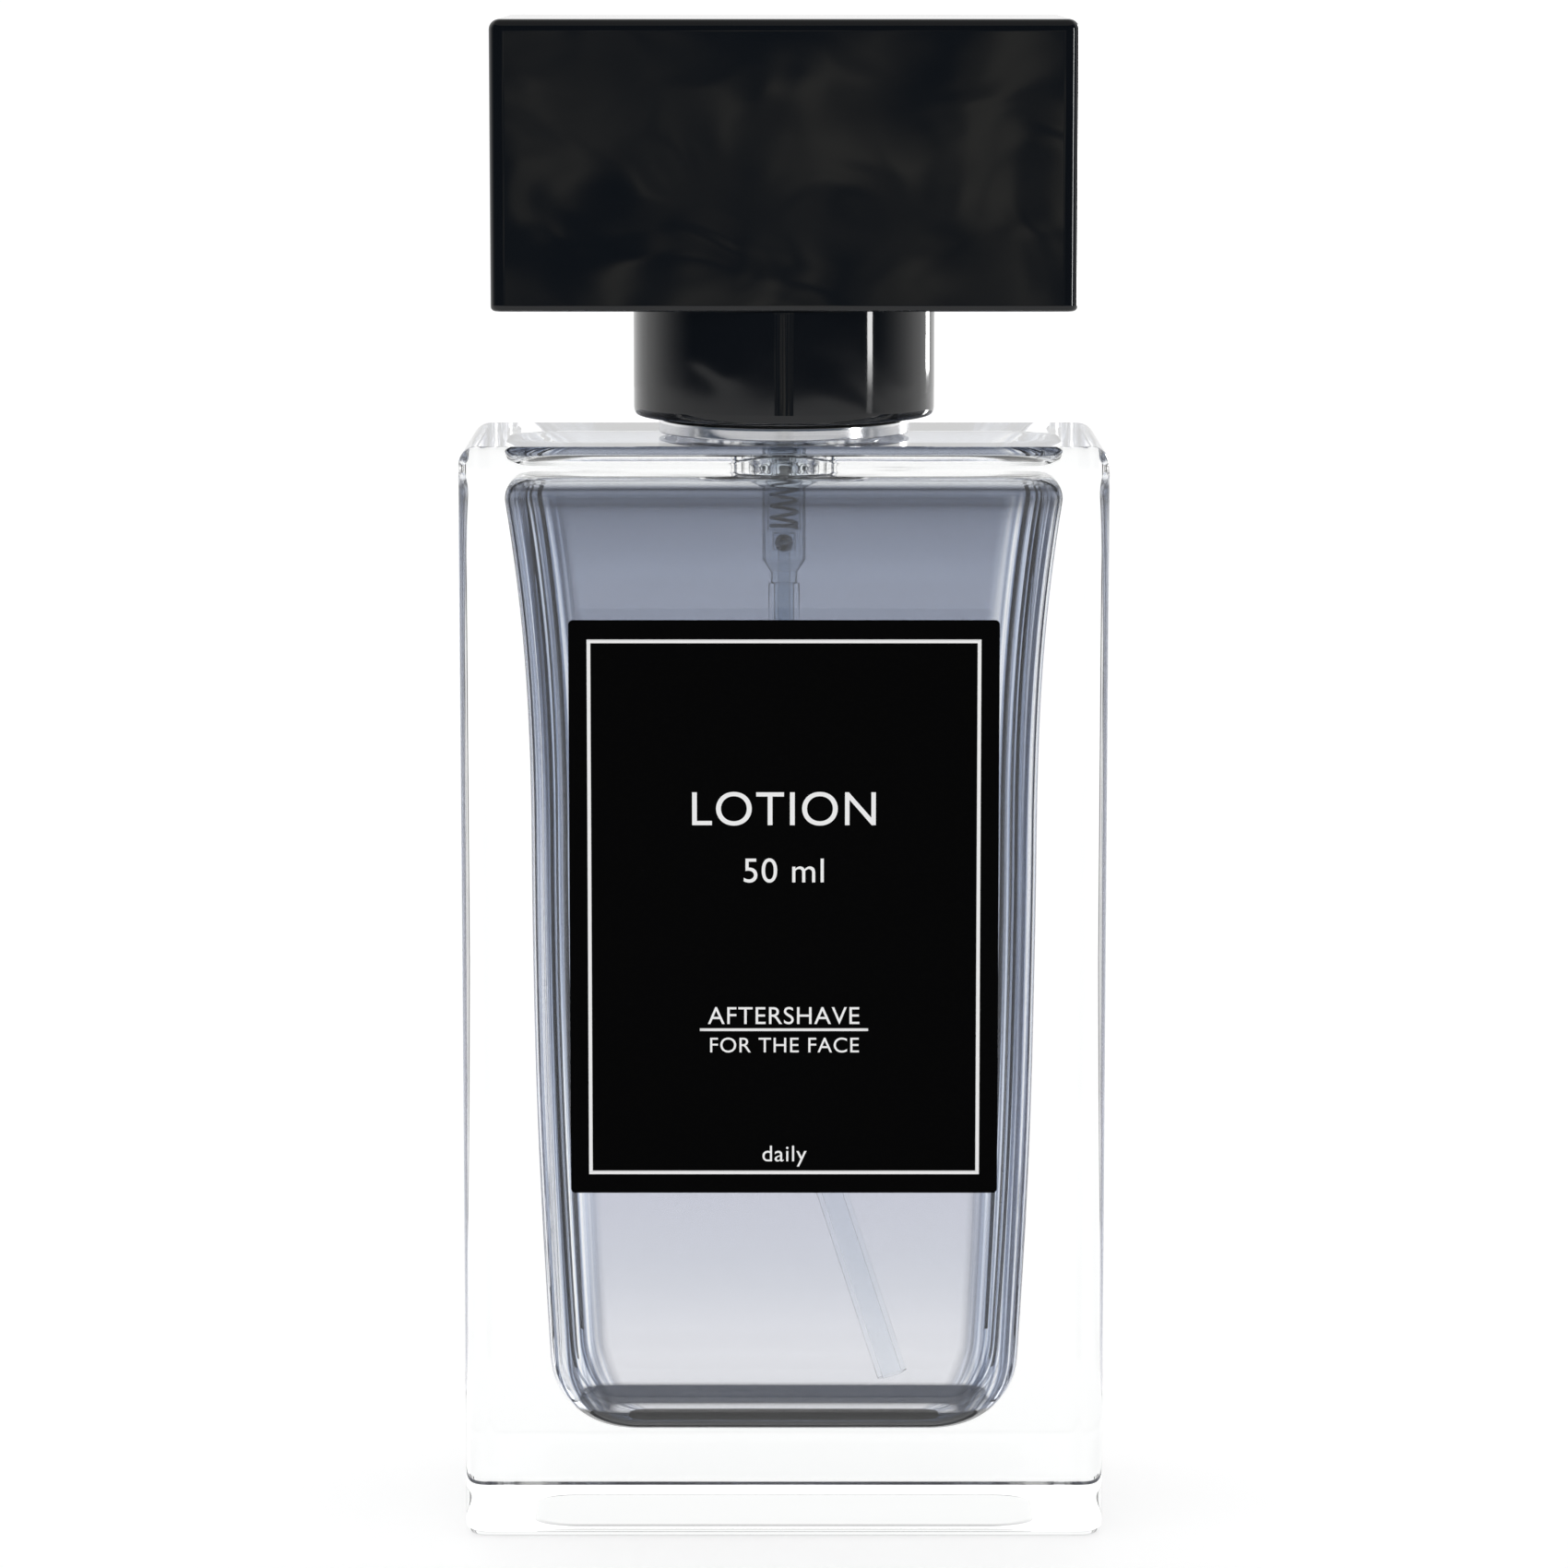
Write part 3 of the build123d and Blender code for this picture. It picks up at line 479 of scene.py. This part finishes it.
TUBE_TOP, TUBE_STRAIGHT_END, BEND_R, LEAN, TAIL = 83.3, 54.7, 80.0, math.radians(18), 18.5
TUBE_R, TUBE_BORE = 1.35, 0.87
drop = np.linspace(TUBE_TOP, TUBE_STRAIGHT_END, 12)
bend = np.linspace(0, LEAN, 24)[1:]
tail = np.linspace(0, TAIL, 8)[1:]
bend_x, bend_z = BEND_R * (1 - np.cos(bend)), TUBE_STRAIGHT_END - BEND_R * np.sin(bend)
tube_x = np.concatenate([0 * drop, bend_x, bend_x[-1] + tail * math.sin(LEAN)])
tube_z = np.concatenate([drop, bend_z, bend_z[-1] - tail * math.cos(LEAN)])
tube_path = np.stack([tube_x, 0 * tube_x, tube_z], axis=1)
tube_side = np.tile([0.0, 1.0, 0.0], (len(tube_path), 1))
tube_walls = [carried(tube_path, tube_side, TUBE_R, 32), carried(tube_path, tube_side, TUBE_BORE, 32)[::-1]]
dip_tube = skin("clear_dip_tube", np.concatenate(tube_walls), joined=True)
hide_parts("dip_tube")
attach(dip_tube, "bottle")

SPRING_LOW, SPRING_HIGH, COIL_R, WIRE_R, TURNS, DEAD_TURNS, STROKE = 88.0, 97.6, 1.12, 0.17, 9.5, 1.0, 4.0
along = np.linspace(0, TURNS, int(TURNS * 26))
live = np.clip((along - DEAD_TURNS) / (TURNS - 2 * DEAD_TURNS), 0, 1)
dead = np.clip(along, 0, DEAD_TURNS) + np.clip(along - TURNS + DEAD_TURNS, 0, DEAD_TURNS)
open_height = SPRING_HIGH - SPRING_LOW - 2 * WIRE_R - 4 * WIRE_R * DEAD_TURNS
coil_z = SPRING_LOW + WIRE_R + 2 * WIRE_R * dead + open_height * live
away = np.stack([np.cos(2 * math.pi * along), np.sin(2 * math.pi * along), 0 * along], axis=1)
coil_path = COIL_R * away + coil_z[:, None] * [0, 0, 1]
spring_coil = skin("spring_coil", carried(coil_path, away, WIRE_R, 10))
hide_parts("return_spring")
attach(spring_coil, "bottle")
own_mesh(spring_coil)


# %% [markdown]
# ## The printed label
# The label is a black film with white ink: a thin frame, a rule and a few plain words that any such bottle
# could carry. Ink stands a little proud of the film, so it is real geometry a hundredth of a millimetre
# thick. Frame and rule are the same rings as before, stood up against the front of the glass; words come
# from Blender's own font, turned into a mesh and scaled by the measured height of their capitals.

# %% Frame, rule and words
label_low, label_high = (np.array(corner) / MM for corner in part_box("front_label"))
label_front, label_middle = label_low[1], (label_low[2] + label_high[2]) / 2
INK, BITE = 0.012, 0.004      # thickness of the ink, and how far it sinks into the film
FRAME_HALF_W, FRAME_HALF_H, FRAME_LINE = 16.97, 23.44, 0.32
RULE_DROP = 10.65             # how far below the label's middle the rule is


def stood_up(grid, z):
    """Lays a flat grid against the label: its second direction becomes height, its third comes out of the
    face."""
    x, y, out = np.moveaxis(grid / MM, 2, 0)
    return np.stack([x, label_front + BITE - out, z + y], axis=2) * MM


def ink_rows(half_w, half_h, line):
    """One section of a printed line that goes round a rectangle: outer wall, face, inner wall, back."""
    wide = np.array([0, 0, line, line])
    return box_rows(half_w - wide, half_h - wide, 0.03, np.array([0, INK, INK, 0]))


frame_rings = rings(ink_rows(FRAME_HALF_W, FRAME_HALF_H, FRAME_LINE))
frame_line = skin("label_frame", stood_up(frame_rings, label_middle), joined=True)
rule_rows = box_rows(np.array([7.3, 7.3, 6.0]), np.array([0.12, 0.12, 0.05]), 0.04, np.array([0, INK, INK]))
rule = skin("label_rule", stood_up(rings(rule_rows), label_middle - RULE_DROP))


def words(name, text, capital, z):
    """Plain words centred on the label; capital is the height of a capital letter in millimetres."""
    font = bpy.data.curves.new(name, "FONT")
    font.body, font.align_x, font.extrude, font.space_character = text, "CENTER", 0.5, 1.06
    shape = bpy.data.objects.new(name, font)
    mesh = bpy.data.meshes.new_from_object(shape.evaluated_get(bpy.context.evaluated_depsgraph_get()))
    bpy.data.objects.remove(shape)
    points = np.empty(len(mesh.vertices) * 3)
    mesh.vertices.foreach_get("co", points)
    x, y, out = points.reshape(-1, 3).T
    size = capital / CAPITAL_SHARE
    placed = np.stack([x * size, label_front + BITE - (out + 0.5) * INK, z + y * size], axis=1) * MM
    mesh.vertices.foreach_set("co", placed.astype(np.float32).ravel())
    mesh.update()
    piece = bpy.data.objects.new(name, mesh)
    bpy.context.scene.collection.objects.link(piece)
    print(name, "is", round(float(np.ptp(placed[:, 0])) / MM, 1), "mm wide")
    return piece


CAPITAL_SHARE = 0.69          # height of a capital in this font when its size is 1
lines = [
    words(name, text, capital, label_middle + height) for name, text, capital, height in (
        ("label_title", "LOTION", 2.9, 7.3), ("label_volume", "50 ml", 2.1, 2.3),
        ("label_kind", "AFTERSHAVE", 1.5, -10.15), ("label_use", "FOR THE FACE", 1.3, -12.65),
        ("label_note", "daily", 1.4, -22.3))
]
for printed in (frame_line, rule, *lines):
    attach(printed, "bottle")


# %% [markdown]
# ## Writing materials as sums
# A shader is arithmetic on colours and numbers. One small class wraps a socket so that +, * and ** add the
# Math nodes, and one method adds every other node: it takes the node's type, its settings, then its inputs.
# Numbers that are the same all over a surface go straight onto the shader's own sockets.

# %% The wire and the finish
class Wire:
    """A number on its way through a material. Arithmetic on it adds Math nodes."""

    def __init__(self, finish, socket):
        self.finish, self.socket = finish, socket

    def math(self, operation, *terms):
        return self.finish.add("ShaderNodeMath", {"operation": operation}, dict(enumerate(terms)))

    def __add__(self, other):
        return self.math("ADD", self, other)

    def __mul__(self, other):
        return self.math("MULTIPLY", self, other)

    def __pow__(self, other):
        return self.math("POWER", self, other)

    __radd__, __rmul__ = __add__, __mul__


class Finish:
    """A material built on the Principled shader, with patterns in object coordinates."""

    def __init__(self, name, **constants):
        self.material = bpy.data.materials.new(name)
        self.material.use_nodes = True
        self.tree = self.material.node_tree
        self.shader = self.tree.nodes["Principled BSDF"]
        self.place = self.add("ShaderNodeTexCoord", {}, {}, "Object")
        for socket, value in constants.items():
            self.shader.inputs[socket.replace("_", " ")].default_value = value

    def add(self, kind, settings, inputs, output=0):
        """A node of that type: settings first, then values or links of its sockets. Gives back one
        output."""
        node = self.tree.nodes.new(kind)
        for name, value in settings.items():
            if name == "stops":
                ramp = node.color_ramp.elements
                while len(ramp) < len(value):
                    ramp.new(0.5)
                for element, (position, colour) in zip(ramp, value):
                    element.position, element.color = position, (*colour, 1)
            else:
                setattr(node, name, value)
        for name, value in inputs.items():
            if isinstance(value, Wire):
                self.tree.links.new(value.socket, node.inputs[name])
            else:
                node.inputs[name].default_value = value
        return Wire(self, node.outputs[output])

    def noise(self, size, detail=2.0, stretch=(1, 1, 1), twist=0.0):
        """Noise from 0 to 1 whose blotches are about that many millimetres across, longer where
        stretched."""
        squeezed = self.add(
            "ShaderNodeMapping", {"vector_type": "TEXTURE"}, {"Vector": self.place, "Scale": stretch})
        return self.add("ShaderNodeTexNoise", {}, {
            "Vector": squeezed, "Scale": 1 / (size * MM), "Detail": detail, "Distortion": twist}, "Fac")

    def ramp(self, wire, stops):
        return self.add("ShaderNodeValToRGB", {"stops": stops}, {"Fac": wire}, "Color")

    def blend(self, share, first, second):
        """A colour between two colours."""
        colours = [value if isinstance(value, Wire) else (*value, 1) for value in (first, second)]
        return self.add("ShaderNodeMix", {"data_type": "RGBA"}, {0: share, 6: colours[0], 7: colours[1]}, 2)

    def bump(self, height, depth):
        """Tilts the normal as if the surface rose by depth millimetres where height is 1."""
        risen = self.add("ShaderNodeBump", {}, {"Height": height, "Distance": depth * MM}, "Normal")
        self.feed("Normal", risen)

    def feed(self, socket, wire):
        self.tree.links.new(wire.socket, self.shader.inputs[socket])

    def on(self, *pieces):
        for piece in pieces:
            piece.data.materials.clear()
            piece.data.materials.append(self.material)
        print(self.material.name, "on", ", ".join(piece.name for piece in pieces))


# %% [markdown]
# ## Glass and liquid
# Flint glass is clear and a trace of green in its thickness. Its skin is fire-polished, but never optically
# flat, so a very slow, very low bump makes the lines at its edges waver. The liquid is a slate blue, and
# over that tint its skin carries painted light and shade: a ramp along the height paints a shade that deepens
# towards the top and is almost clear above the foot, with fine painted dark and bright lines under the
# shoulder where its curve bends light; painted dark bands and bright highlight lines in the upright corners,
# from noise that changes fast through a corner and slowly along it; and a painted shade where the walls turn
# into the floor. All of this is on the skin, and nothing is absorbed inside. Each crossing of the skin takes
# the square root of the tint, so in and out together make the whole.

# %% Clear glass and the tinted liquid
# How fast the painted dark bands and bright highlight lines of the upright corners change round, across and
# up.
CORNER_BANDS_ROUND, CORNER_BANDS_ACROSS, CORNER_BANDS_UP = 4.2, 18.0, 9.0    # how fast they change in each direction
# The painted shade where the liquid's walls turn into its floor, for the darkening that the bend of light
# gives there: the heights where it is full and gone, and its colour.
FOOT_SHADE_FULL, FOOT_SHADE_END = 0.024, 0.026      # shares of the height up to which the dark rim is full, and is gone
FOOT_SHADE_TINT = (0.0022, 0.0033, 0.007)
GLASS_TINT = (0.985, 0.992, 0.99, 1)
glass = Finish("clear_glass", Base_Color=GLASS_TINT, Transmission_Weight=1.0, IOR=1.5, Roughness=0.0)
glass.bump(glass.noise(14, 1.0) + 0.12 * glass.noise(3, 1.0), 0.012)
glass.on(glass_block)

tinted = Finish("slate_aftershave", Transmission_Weight=1.0, IOR=1.36, Roughness=0.0)
height = tinted.add("ShaderNodeSeparateXYZ", {}, {"Vector": tinted.place}, "Z")
share = tinted.add("ShaderNodeMapRange", {}, {
    "Value": height, "From Min": FLOOR * MM, "From Max": CEILING * MM,
    "To Min": 0.0, "To Max": 1.0}, "Result")
# Painted shade along the height: deeper towards the top and almost clear above the foot, with fine painted
# dark and bright lines under the shoulder, where its curve bends light, and light again at the very top.
straight = tinted.ramp(share, [
    (0.0, (0.80, 0.80, 0.84)), (0.084, (0.74, 0.74, 0.79)), (0.16, (0.59, 0.605, 0.675)),
    (0.246, (0.54, 0.55, 0.635)), (0.55, (0.40, 0.42, 0.51)), (0.892, (0.24, 0.27, 0.357)),
    (0.925, (0.19, 0.215, 0.29)), (0.955, (0.15, 0.17, 0.235)), (0.968, (0.09, 0.105, 0.15)),
    (0.9735, (0.012, 0.016, 0.03)), (0.979, (0.14, 0.165, 0.23)), (0.9835, (0.22, 0.25, 0.33)),
    (0.9875, (0.02, 0.026, 0.045)), (0.9915, (0.08, 0.095, 0.14)), (0.994, (0.75, 0.78, 0.84)),
    (1.0, (1.0, 1.0, 1.0))])
# Painted dark bands and bright highlight lines in the upright corners, where the curved skin bends light.
sideways = tinted.add("ShaderNodeSeparateXYZ", {}, {"Vector": tinted.place}, "X")
turn_at = tinted.add("ShaderNodeAttribute", {"attribute_name": "turn"}, {}, "Fac")
drawn_along = tinted.add("ShaderNodeCombineXYZ", {}, {
    "X": CORNER_BANDS_ROUND * turn_at, "Y": CORNER_BANDS_ACROSS * sideways, "Z": CORNER_BANDS_UP * height}, "Vector")
drawn = tinted.add("ShaderNodeTexNoise", {}, {
    "Vector": drawn_along, "Scale": 1.0, "Detail": 2.0, "Roughness": 0.55}, "Fac")
painted_corner_bands = tinted.ramp(drawn, [
    (0.36, (0.012, 0.018, 0.038)), (0.45, (0.05, 0.07, 0.13)), (0.50, (0.20, 0.25, 0.37)),
    (0.55, (0.52, 0.58, 0.72)), (0.62, (0.97, 0.98, 1.0))])
cornered = tinted.add("ShaderNodeAttribute", {"attribute_name": "corner"}, {}, "Fac")
below_shoulder = tinted.ramp(share, [(0.94, (1, 1, 1)), (0.985, (0, 0, 0))])
# The painted shade at the foot lies over everything else on the liquid's skin.
foot_shade_share = tinted.ramp(share, [
    (0.0, (0, 0, 0)), (0.0005, (1, 1, 1)), (FOOT_SHADE_FULL, (1, 1, 1)), (FOOT_SHADE_END, (0, 0, 0))])
walls = tinted.blend(cornered * below_shoulder, straight, painted_corner_bands)
tinted.feed("Base Color", tinted.blend(foot_shade_share, walls, FOOT_SHADE_TINT))
tinted.on(liquid)


# %% [markdown]
# ## Gloss black, label film and ink
# The cap is injection moulded and polished: nearly black, with a mirror skin that is slightly wavy where
# the plastic shrank over the ribs inside, plus the faint haze of handling. The label is the opposite, a
# dead matt film that swallows light. The ink is chalk white and a little uneven.

# %% Cap, label and ink
gloss = Finish("gloss_black", IOR=1.46, Specular_IOR_Level=0.45)
haze = gloss.noise(9, 3.0, (1.6, 1, 1), 0.6)
gloss.feed("Base Color", gloss.blend(haze, (0.0025, 0.0032, 0.0045), (0.0040, 0.0046, 0.0058)))
gloss.feed("Roughness", 0.03 + 0.07 * haze**2)
gloss.bump(gloss.noise(11, 1.0, (1, 1, 0.7), 0.8), 0.02)
gloss.on(cap_block, cap_skirt)

film = Finish("matt_black_film", Specular_IOR_Level=0.02)
tooth = film.noise(0.25, 2.0)
film.feed("Base Color", film.blend(tooth, (0.0010, 0.0010, 0.0011), (0.0022, 0.0022, 0.0023)))
film.feed("Roughness", 0.62 + 0.2 * tooth)
film.bump(tooth, 0.004)
film.on(nodes["front_label"])

ink = Finish("white_ink", Specular_IOR_Level=0.3)
grain = ink.noise(0.12, 2.0)
ink.feed("Base Color", ink.blend(grain, (0.86, 0.86, 0.86), (0.95, 0.95, 0.95)))
ink.feed("Roughness", 0.45 + 0.2 * grain)
ink.on(frame_line, rule, *lines)


# %% [markdown]
# ## Bright metal
# The collar, the ferrule and the button's cover are drawn from aluminium and spun, so their finest marks
# run round the axis: noise squeezed hard along Z and stretched round makes rings. The spring and the ball
# are stainless steel, greyer and darker.

# %% Aluminium and steel
def spun_metal(name, low, high, roughness, mark):
    """Metal with turning marks: noise that changes fast along the height and hardly at all round the
    axis."""
    metal = Finish(name, Metallic=1.0)
    rings_of_light = metal.noise(0.35, 3.0, (60, 60, 1))
    cloud = metal.noise(4, 2.0)
    metal.feed("Base Color", metal.blend(cloud * 0.6 + rings_of_light * 0.4, low, high))
    metal.feed("Roughness", roughness + 0.08 * cloud + 0.06 * rings_of_light)
    metal.bump(rings_of_light, mark)
    return metal


spun_metal("bright_collar", (0.74, 0.74, 0.75), (0.86, 0.86, 0.87), 0.10, 0.0015).on(collar)
spun_metal("crimp_metal", (0.66, 0.66, 0.67), (0.80, 0.80, 0.81), 0.22, 0.003).on(nodes["crimp_ferrule"])
spun_metal("satin_button", (0.70, 0.70, 0.71), (0.82, 0.82, 0.83), 0.26, 0.003).on(nodes["actuator_shell"])
steel = spun_metal("drawn_steel", (0.30, 0.30, 0.31), (0.48, 0.48, 0.49), 0.20, 0.002)
steel.on(spring_coil, nodes["inlet_ball"])


# %% [markdown]
# ## Plastics and rubber
# The pump's housing and dip tube are natural polyolefin, which lets light through and almost vanishes in
# the liquid, because the two bend light nearly alike: the index of each is given against the liquid round
# it. The stem, piston and turret are white; the liner and the nozzle are black with a fine spark-eroded
# skin.

# %% Clear, white and black plastics
def clear_plastic(name, tint, deeper, index, roughness):
    """See-through plastic with a faint cloud in its tint and in its polish."""
    plastic = Finish(name, Transmission_Weight=1.0, IOR=index)
    cloud = plastic.noise(1.5, 2.0)
    plastic.feed("Base Color", plastic.blend(cloud, tint, deeper))
    plastic.feed("Roughness", roughness + 0.06 * cloud)
    return plastic


def moulded(name, low, high, roughness, skin_size, skin_depth):
    """Moulded plastic: a slow cloud in the colour and the fine skin of the mould in the bump."""
    plastic = Finish(name, IOR=1.49, Specular_IOR_Level=0.45)
    cloud, fine = plastic.noise(3, 2.0), plastic.noise(skin_size, 2.0)
    plastic.feed("Base Color", plastic.blend(cloud, low, high))
    plastic.feed("Roughness", roughness + 0.12 * fine)
    plastic.bump(fine, skin_depth)
    return plastic


clear_plastic("tube_polyethylene", (0.97, 0.98, 0.985), (0.92, 0.94, 0.96), 1.03, 0.04).on(dip_tube)
clear_plastic("natural_housing", (0.84, 0.87, 0.90), (0.74, 0.78, 0.82), 1.06, 0.10).on(nodes["pump_housing"])
white = moulded("white_moulding", (0.78, 0.78, 0.77), (0.86, 0.86, 0.85), 0.35, 0.12, 0.002)
white.on(*(nodes[name] for name in ("pump_stem", "piston", "valve_pin", "turret", "actuator_core")))
moulded("black_moulding", (0.010, 0.010, 0.011), (0.018, 0.018, 0.019), 0.45, 0.15, 0.004).on(
    nodes["cap_liner"], nodes["nozzle_insert"])
moulded("soft_gasket", (0.62, 0.62, 0.60), (0.74, 0.74, 0.71), 0.6, 0.2, 0.006).on(
    nodes["neck_gasket"], nodes["stem_gasket"])


# %% [markdown]
# ## A table for glass
# Clear glass has no colour of its own: it shows what stands round it. Photographers light it from a pale
# table and lay narrow black cards beside it, just outside the picture, so that every curved wall bends into
# dark and bright lines. The cards here are strips that run out along the table and then up, seen only
# through glass. A gloss black cap needs the opposite, dark surroundings with a few soft lights. So a tent
# that only reflections can see stands all round: dark in front and white behind, with a small cloudy screen
# for the cap's flat face and two upright strip lights for its round skirt.

# %% Things of the studio
RAY_KINDS = ("camera", "diffuse", "glossy", "transmission", "shadow", "volume_scatter")


def studio_piece(name, grid, seen_by):
    """A sheet from a grid of points that only the named kinds of rays can see. It isn't part of the
    object."""
    mesh = bpy.data.meshes.new(name)
    mesh.from_pydata(grid.reshape(-1, 3).tolist(), [], sheet_faces(*grid.shape[:2]).tolist())
    piece = bpy.data.objects.new(name, mesh)
    bpy.context.scene.collection.objects.link(piece)
    for kind_of_ray in RAY_KINDS:
        setattr(piece, "visible_" + kind_of_ray, kind_of_ray in seen_by)
    return piece


def sheet_faces(count_v, count_u):
    """Four corners for each cell of an open grid."""
    v, u = np.arange(count_v - 1)[:, None], np.arange(count_u - 1)[None, :]
    cell = [v * count_u + u, v * count_u + u + 1, (v + 1) * count_u + u + 1, (v + 1) * count_u + u]
    return np.stack(cell, axis=2).reshape(-1, 4)


def glowing(name, strength):
    """A finish that gives off light and reflects none."""
    return Finish(name, Base_Color=(0, 0, 0, 1), Specular_IOR_Level=0.0, Roughness=1.0,
                  Emission_Color=(1, 1, 1, 1), Emission_Strength=strength)


# %% Black cards for the glass
CARD_ANGLES = ((10.5, 13), (16.5, 18.5), (21, 26))      # degrees from straight out of the wall, each way
CARD_WALLS = ((0, 20, 14), (90, 4, 28), (180, 20, 14), (270, 4, 28))   # bearing, offset on the wall, distance
CARD_ASIDE, CARD_END, CARD_TOP = 10, 260, 330           # sideways reach of its start, its length, its height


def card(bearing, offset, distance, angles, hand):
    """Both edges of a card: out from a point on the table along an angle, then straight up."""
    turn = np.radians(np.array(angles, float))[None, :]
    start = CARD_ASIDE / math.tan(turn.min())
    reach = np.array([start, CARD_END, CARD_END])[:, None]
    along, out = hand * (offset + reach * np.sin(turn)), distance + reach * np.cos(turn)
    a = math.radians(bearing)
    x, y = along * math.cos(a) + out * math.sin(a), out * math.cos(a) - along * math.sin(a)
    z = np.array([0.3, 0.3, CARD_TOP])[:, None] + 0 * turn
    return np.stack([x, y, z], axis=2) * MM


black_card = glowing("black_card", 0.035)
cards = [
    studio_piece(f"card_{n}", card(*wall, angles, hand), ("transmission",))
    for n, (wall, angles, hand) in enumerate(
        (wall, angles, hand) for wall in CARD_WALLS for angles in CARD_ANGLES for hand in (-1, 1))
]
black_card.on(*cards)


# %% The tent that reflections see, and its strip lights
def part_of_cylinder(radius, start, end, low, high, steps=24):
    """An upright curved sheet round the bottle between two bearings."""
    a = np.radians(np.linspace(start, end, steps))[None, :]
    z = np.array([low, high])[:, None]
    return np.stack([radius * np.sin(a) + 0 * z, radius * np.cos(a) + 0 * z, z + 0 * a], axis=2)


tent_paint = glowing("tent_paint", 1.0)
ahead = tent_paint.add("ShaderNodeSeparateXYZ", {}, {"Vector": tent_paint.place}, "Y")
front_share = tent_paint.add("ShaderNodeMapRange", {"interpolation_type": "SMOOTHSTEP"}, {
    "Value": ahead, "From Min": -0.4, "From Max": 0.75, "To Min": 0.0, "To Max": 1.0}, "Result")
tent_paint.feed("Emission Color", tent_paint.blend(front_share, (0.05, 0.07, 0.10), (1.0, 1.0, 1.0)))
tent = studio_piece("tent", part_of_cylinder(1.3, 0, 360, -0.6, 1.4, 73), ("glossy",))
tent_paint.on(tent)

room = glowing("room_patches", 1.0)
cloudy = room.noise(34, 1.5, (0.8, 1, 1.25), 1.6)
room.feed("Emission Color", room.ramp(cloudy, [
    (0.45, (0.06, 0.09, 0.13)), (0.485, (0.20, 0.21, 0.22)), (0.56, (0.27, 0.27, 0.26)),
    (0.585, (0.62, 0.60, 0.54))]))
screen_x, screen_z = np.meshgrid([-0.13, 0.13], [-0.02, 0.16])
screen = studio_piece("room_screen", np.stack([screen_x, 0 * screen_x - 1.05, screen_z], axis=2), ("glossy",))
room.on(screen)

strip_light = glowing("strip_light", 22.0)
strips = [
    studio_piece(name, part_of_cylinder(0.7, start, end, low, high), ("glossy",))
    for name, start, end, low, high in (
        ("strip_front", 109.5, 114.0, 0.05, 0.32), ("strip_side", 33.0, 41.0, 0.05, 0.32))
]
strip_light.on(*strips)


# %% The table and the sky
TABLE_HALF = 12.0             # metres, so that its far edge is never seen
corners = np.array([[[-1, -1, 0], [1, -1, 0]], [[-1, 1, 0], [1, 1, 0]]], float) * TABLE_HALF
table = studio_piece("table", corners, RAY_KINDS)
pale = Finish("pale_table", Roughness=0.6, Specular_IOR_Level=0.05, Base_Color=(0.62, 0.62, 0.62, 1),
              Emission_Color=(1, 1, 1, 1), Emission_Strength=0.68)
pale.on(table)

world = bpy.data.worlds.new("studio")
bpy.context.scene.world = world
world.use_nodes = True
sky = world.node_tree
direction = sky.nodes.new("ShaderNodeTexCoord")
up = sky.nodes.new("ShaderNodeSeparateXYZ")
fade = sky.nodes.new("ShaderNodeValToRGB")
for element, (position, value) in zip(fade.color_ramp.elements, ((0.25, 1.0), (0.8, 0.35))):
    element.position, element.color = position, (value, value, value, 1)
sky.links.new(direction.outputs["Generated"], up.inputs[0])
sky.links.new(up.outputs["Z"], fade.inputs["Fac"])
sky.links.new(fade.outputs["Color"], sky.nodes["Background"].inputs["Color"])


# %% [markdown]
# ## The camera
# The bottle is seen straight on from half a metre, from just above the height of its cap, with a long lens
# and the camera tipped down a little, so that a sliver of the glass shoulder shows under the cap.

# %% Camera and render settings
DISTANCE, EYE_HEIGHT, TIPPED = 0.514, 0.140, 8.31       # metres, metres, degrees below level
camera_data = bpy.data.cameras.new("camera")
camera = bpy.data.objects.new("camera", camera_data)
bpy.context.scene.collection.objects.link(camera)
camera_data.lens, camera_data.sensor_width = 134.5, 36.0
camera_data.clip_start, camera_data.clip_end = 0.01, 40.0
camera.location = (0.0, -DISTANCE, EYE_HEIGHT)
camera.rotation_euler = (math.radians(90 - TIPPED), 0, 0)
bpy.context.scene.camera = camera
bpy.context.scene.view_settings.view_transform = "Standard"
for kind_of_bounce in ("max_bounces", "transmission_bounces", "glossy_bounces"):
    setattr(bpy.context.scene.cycles, kind_of_bounce, 24)
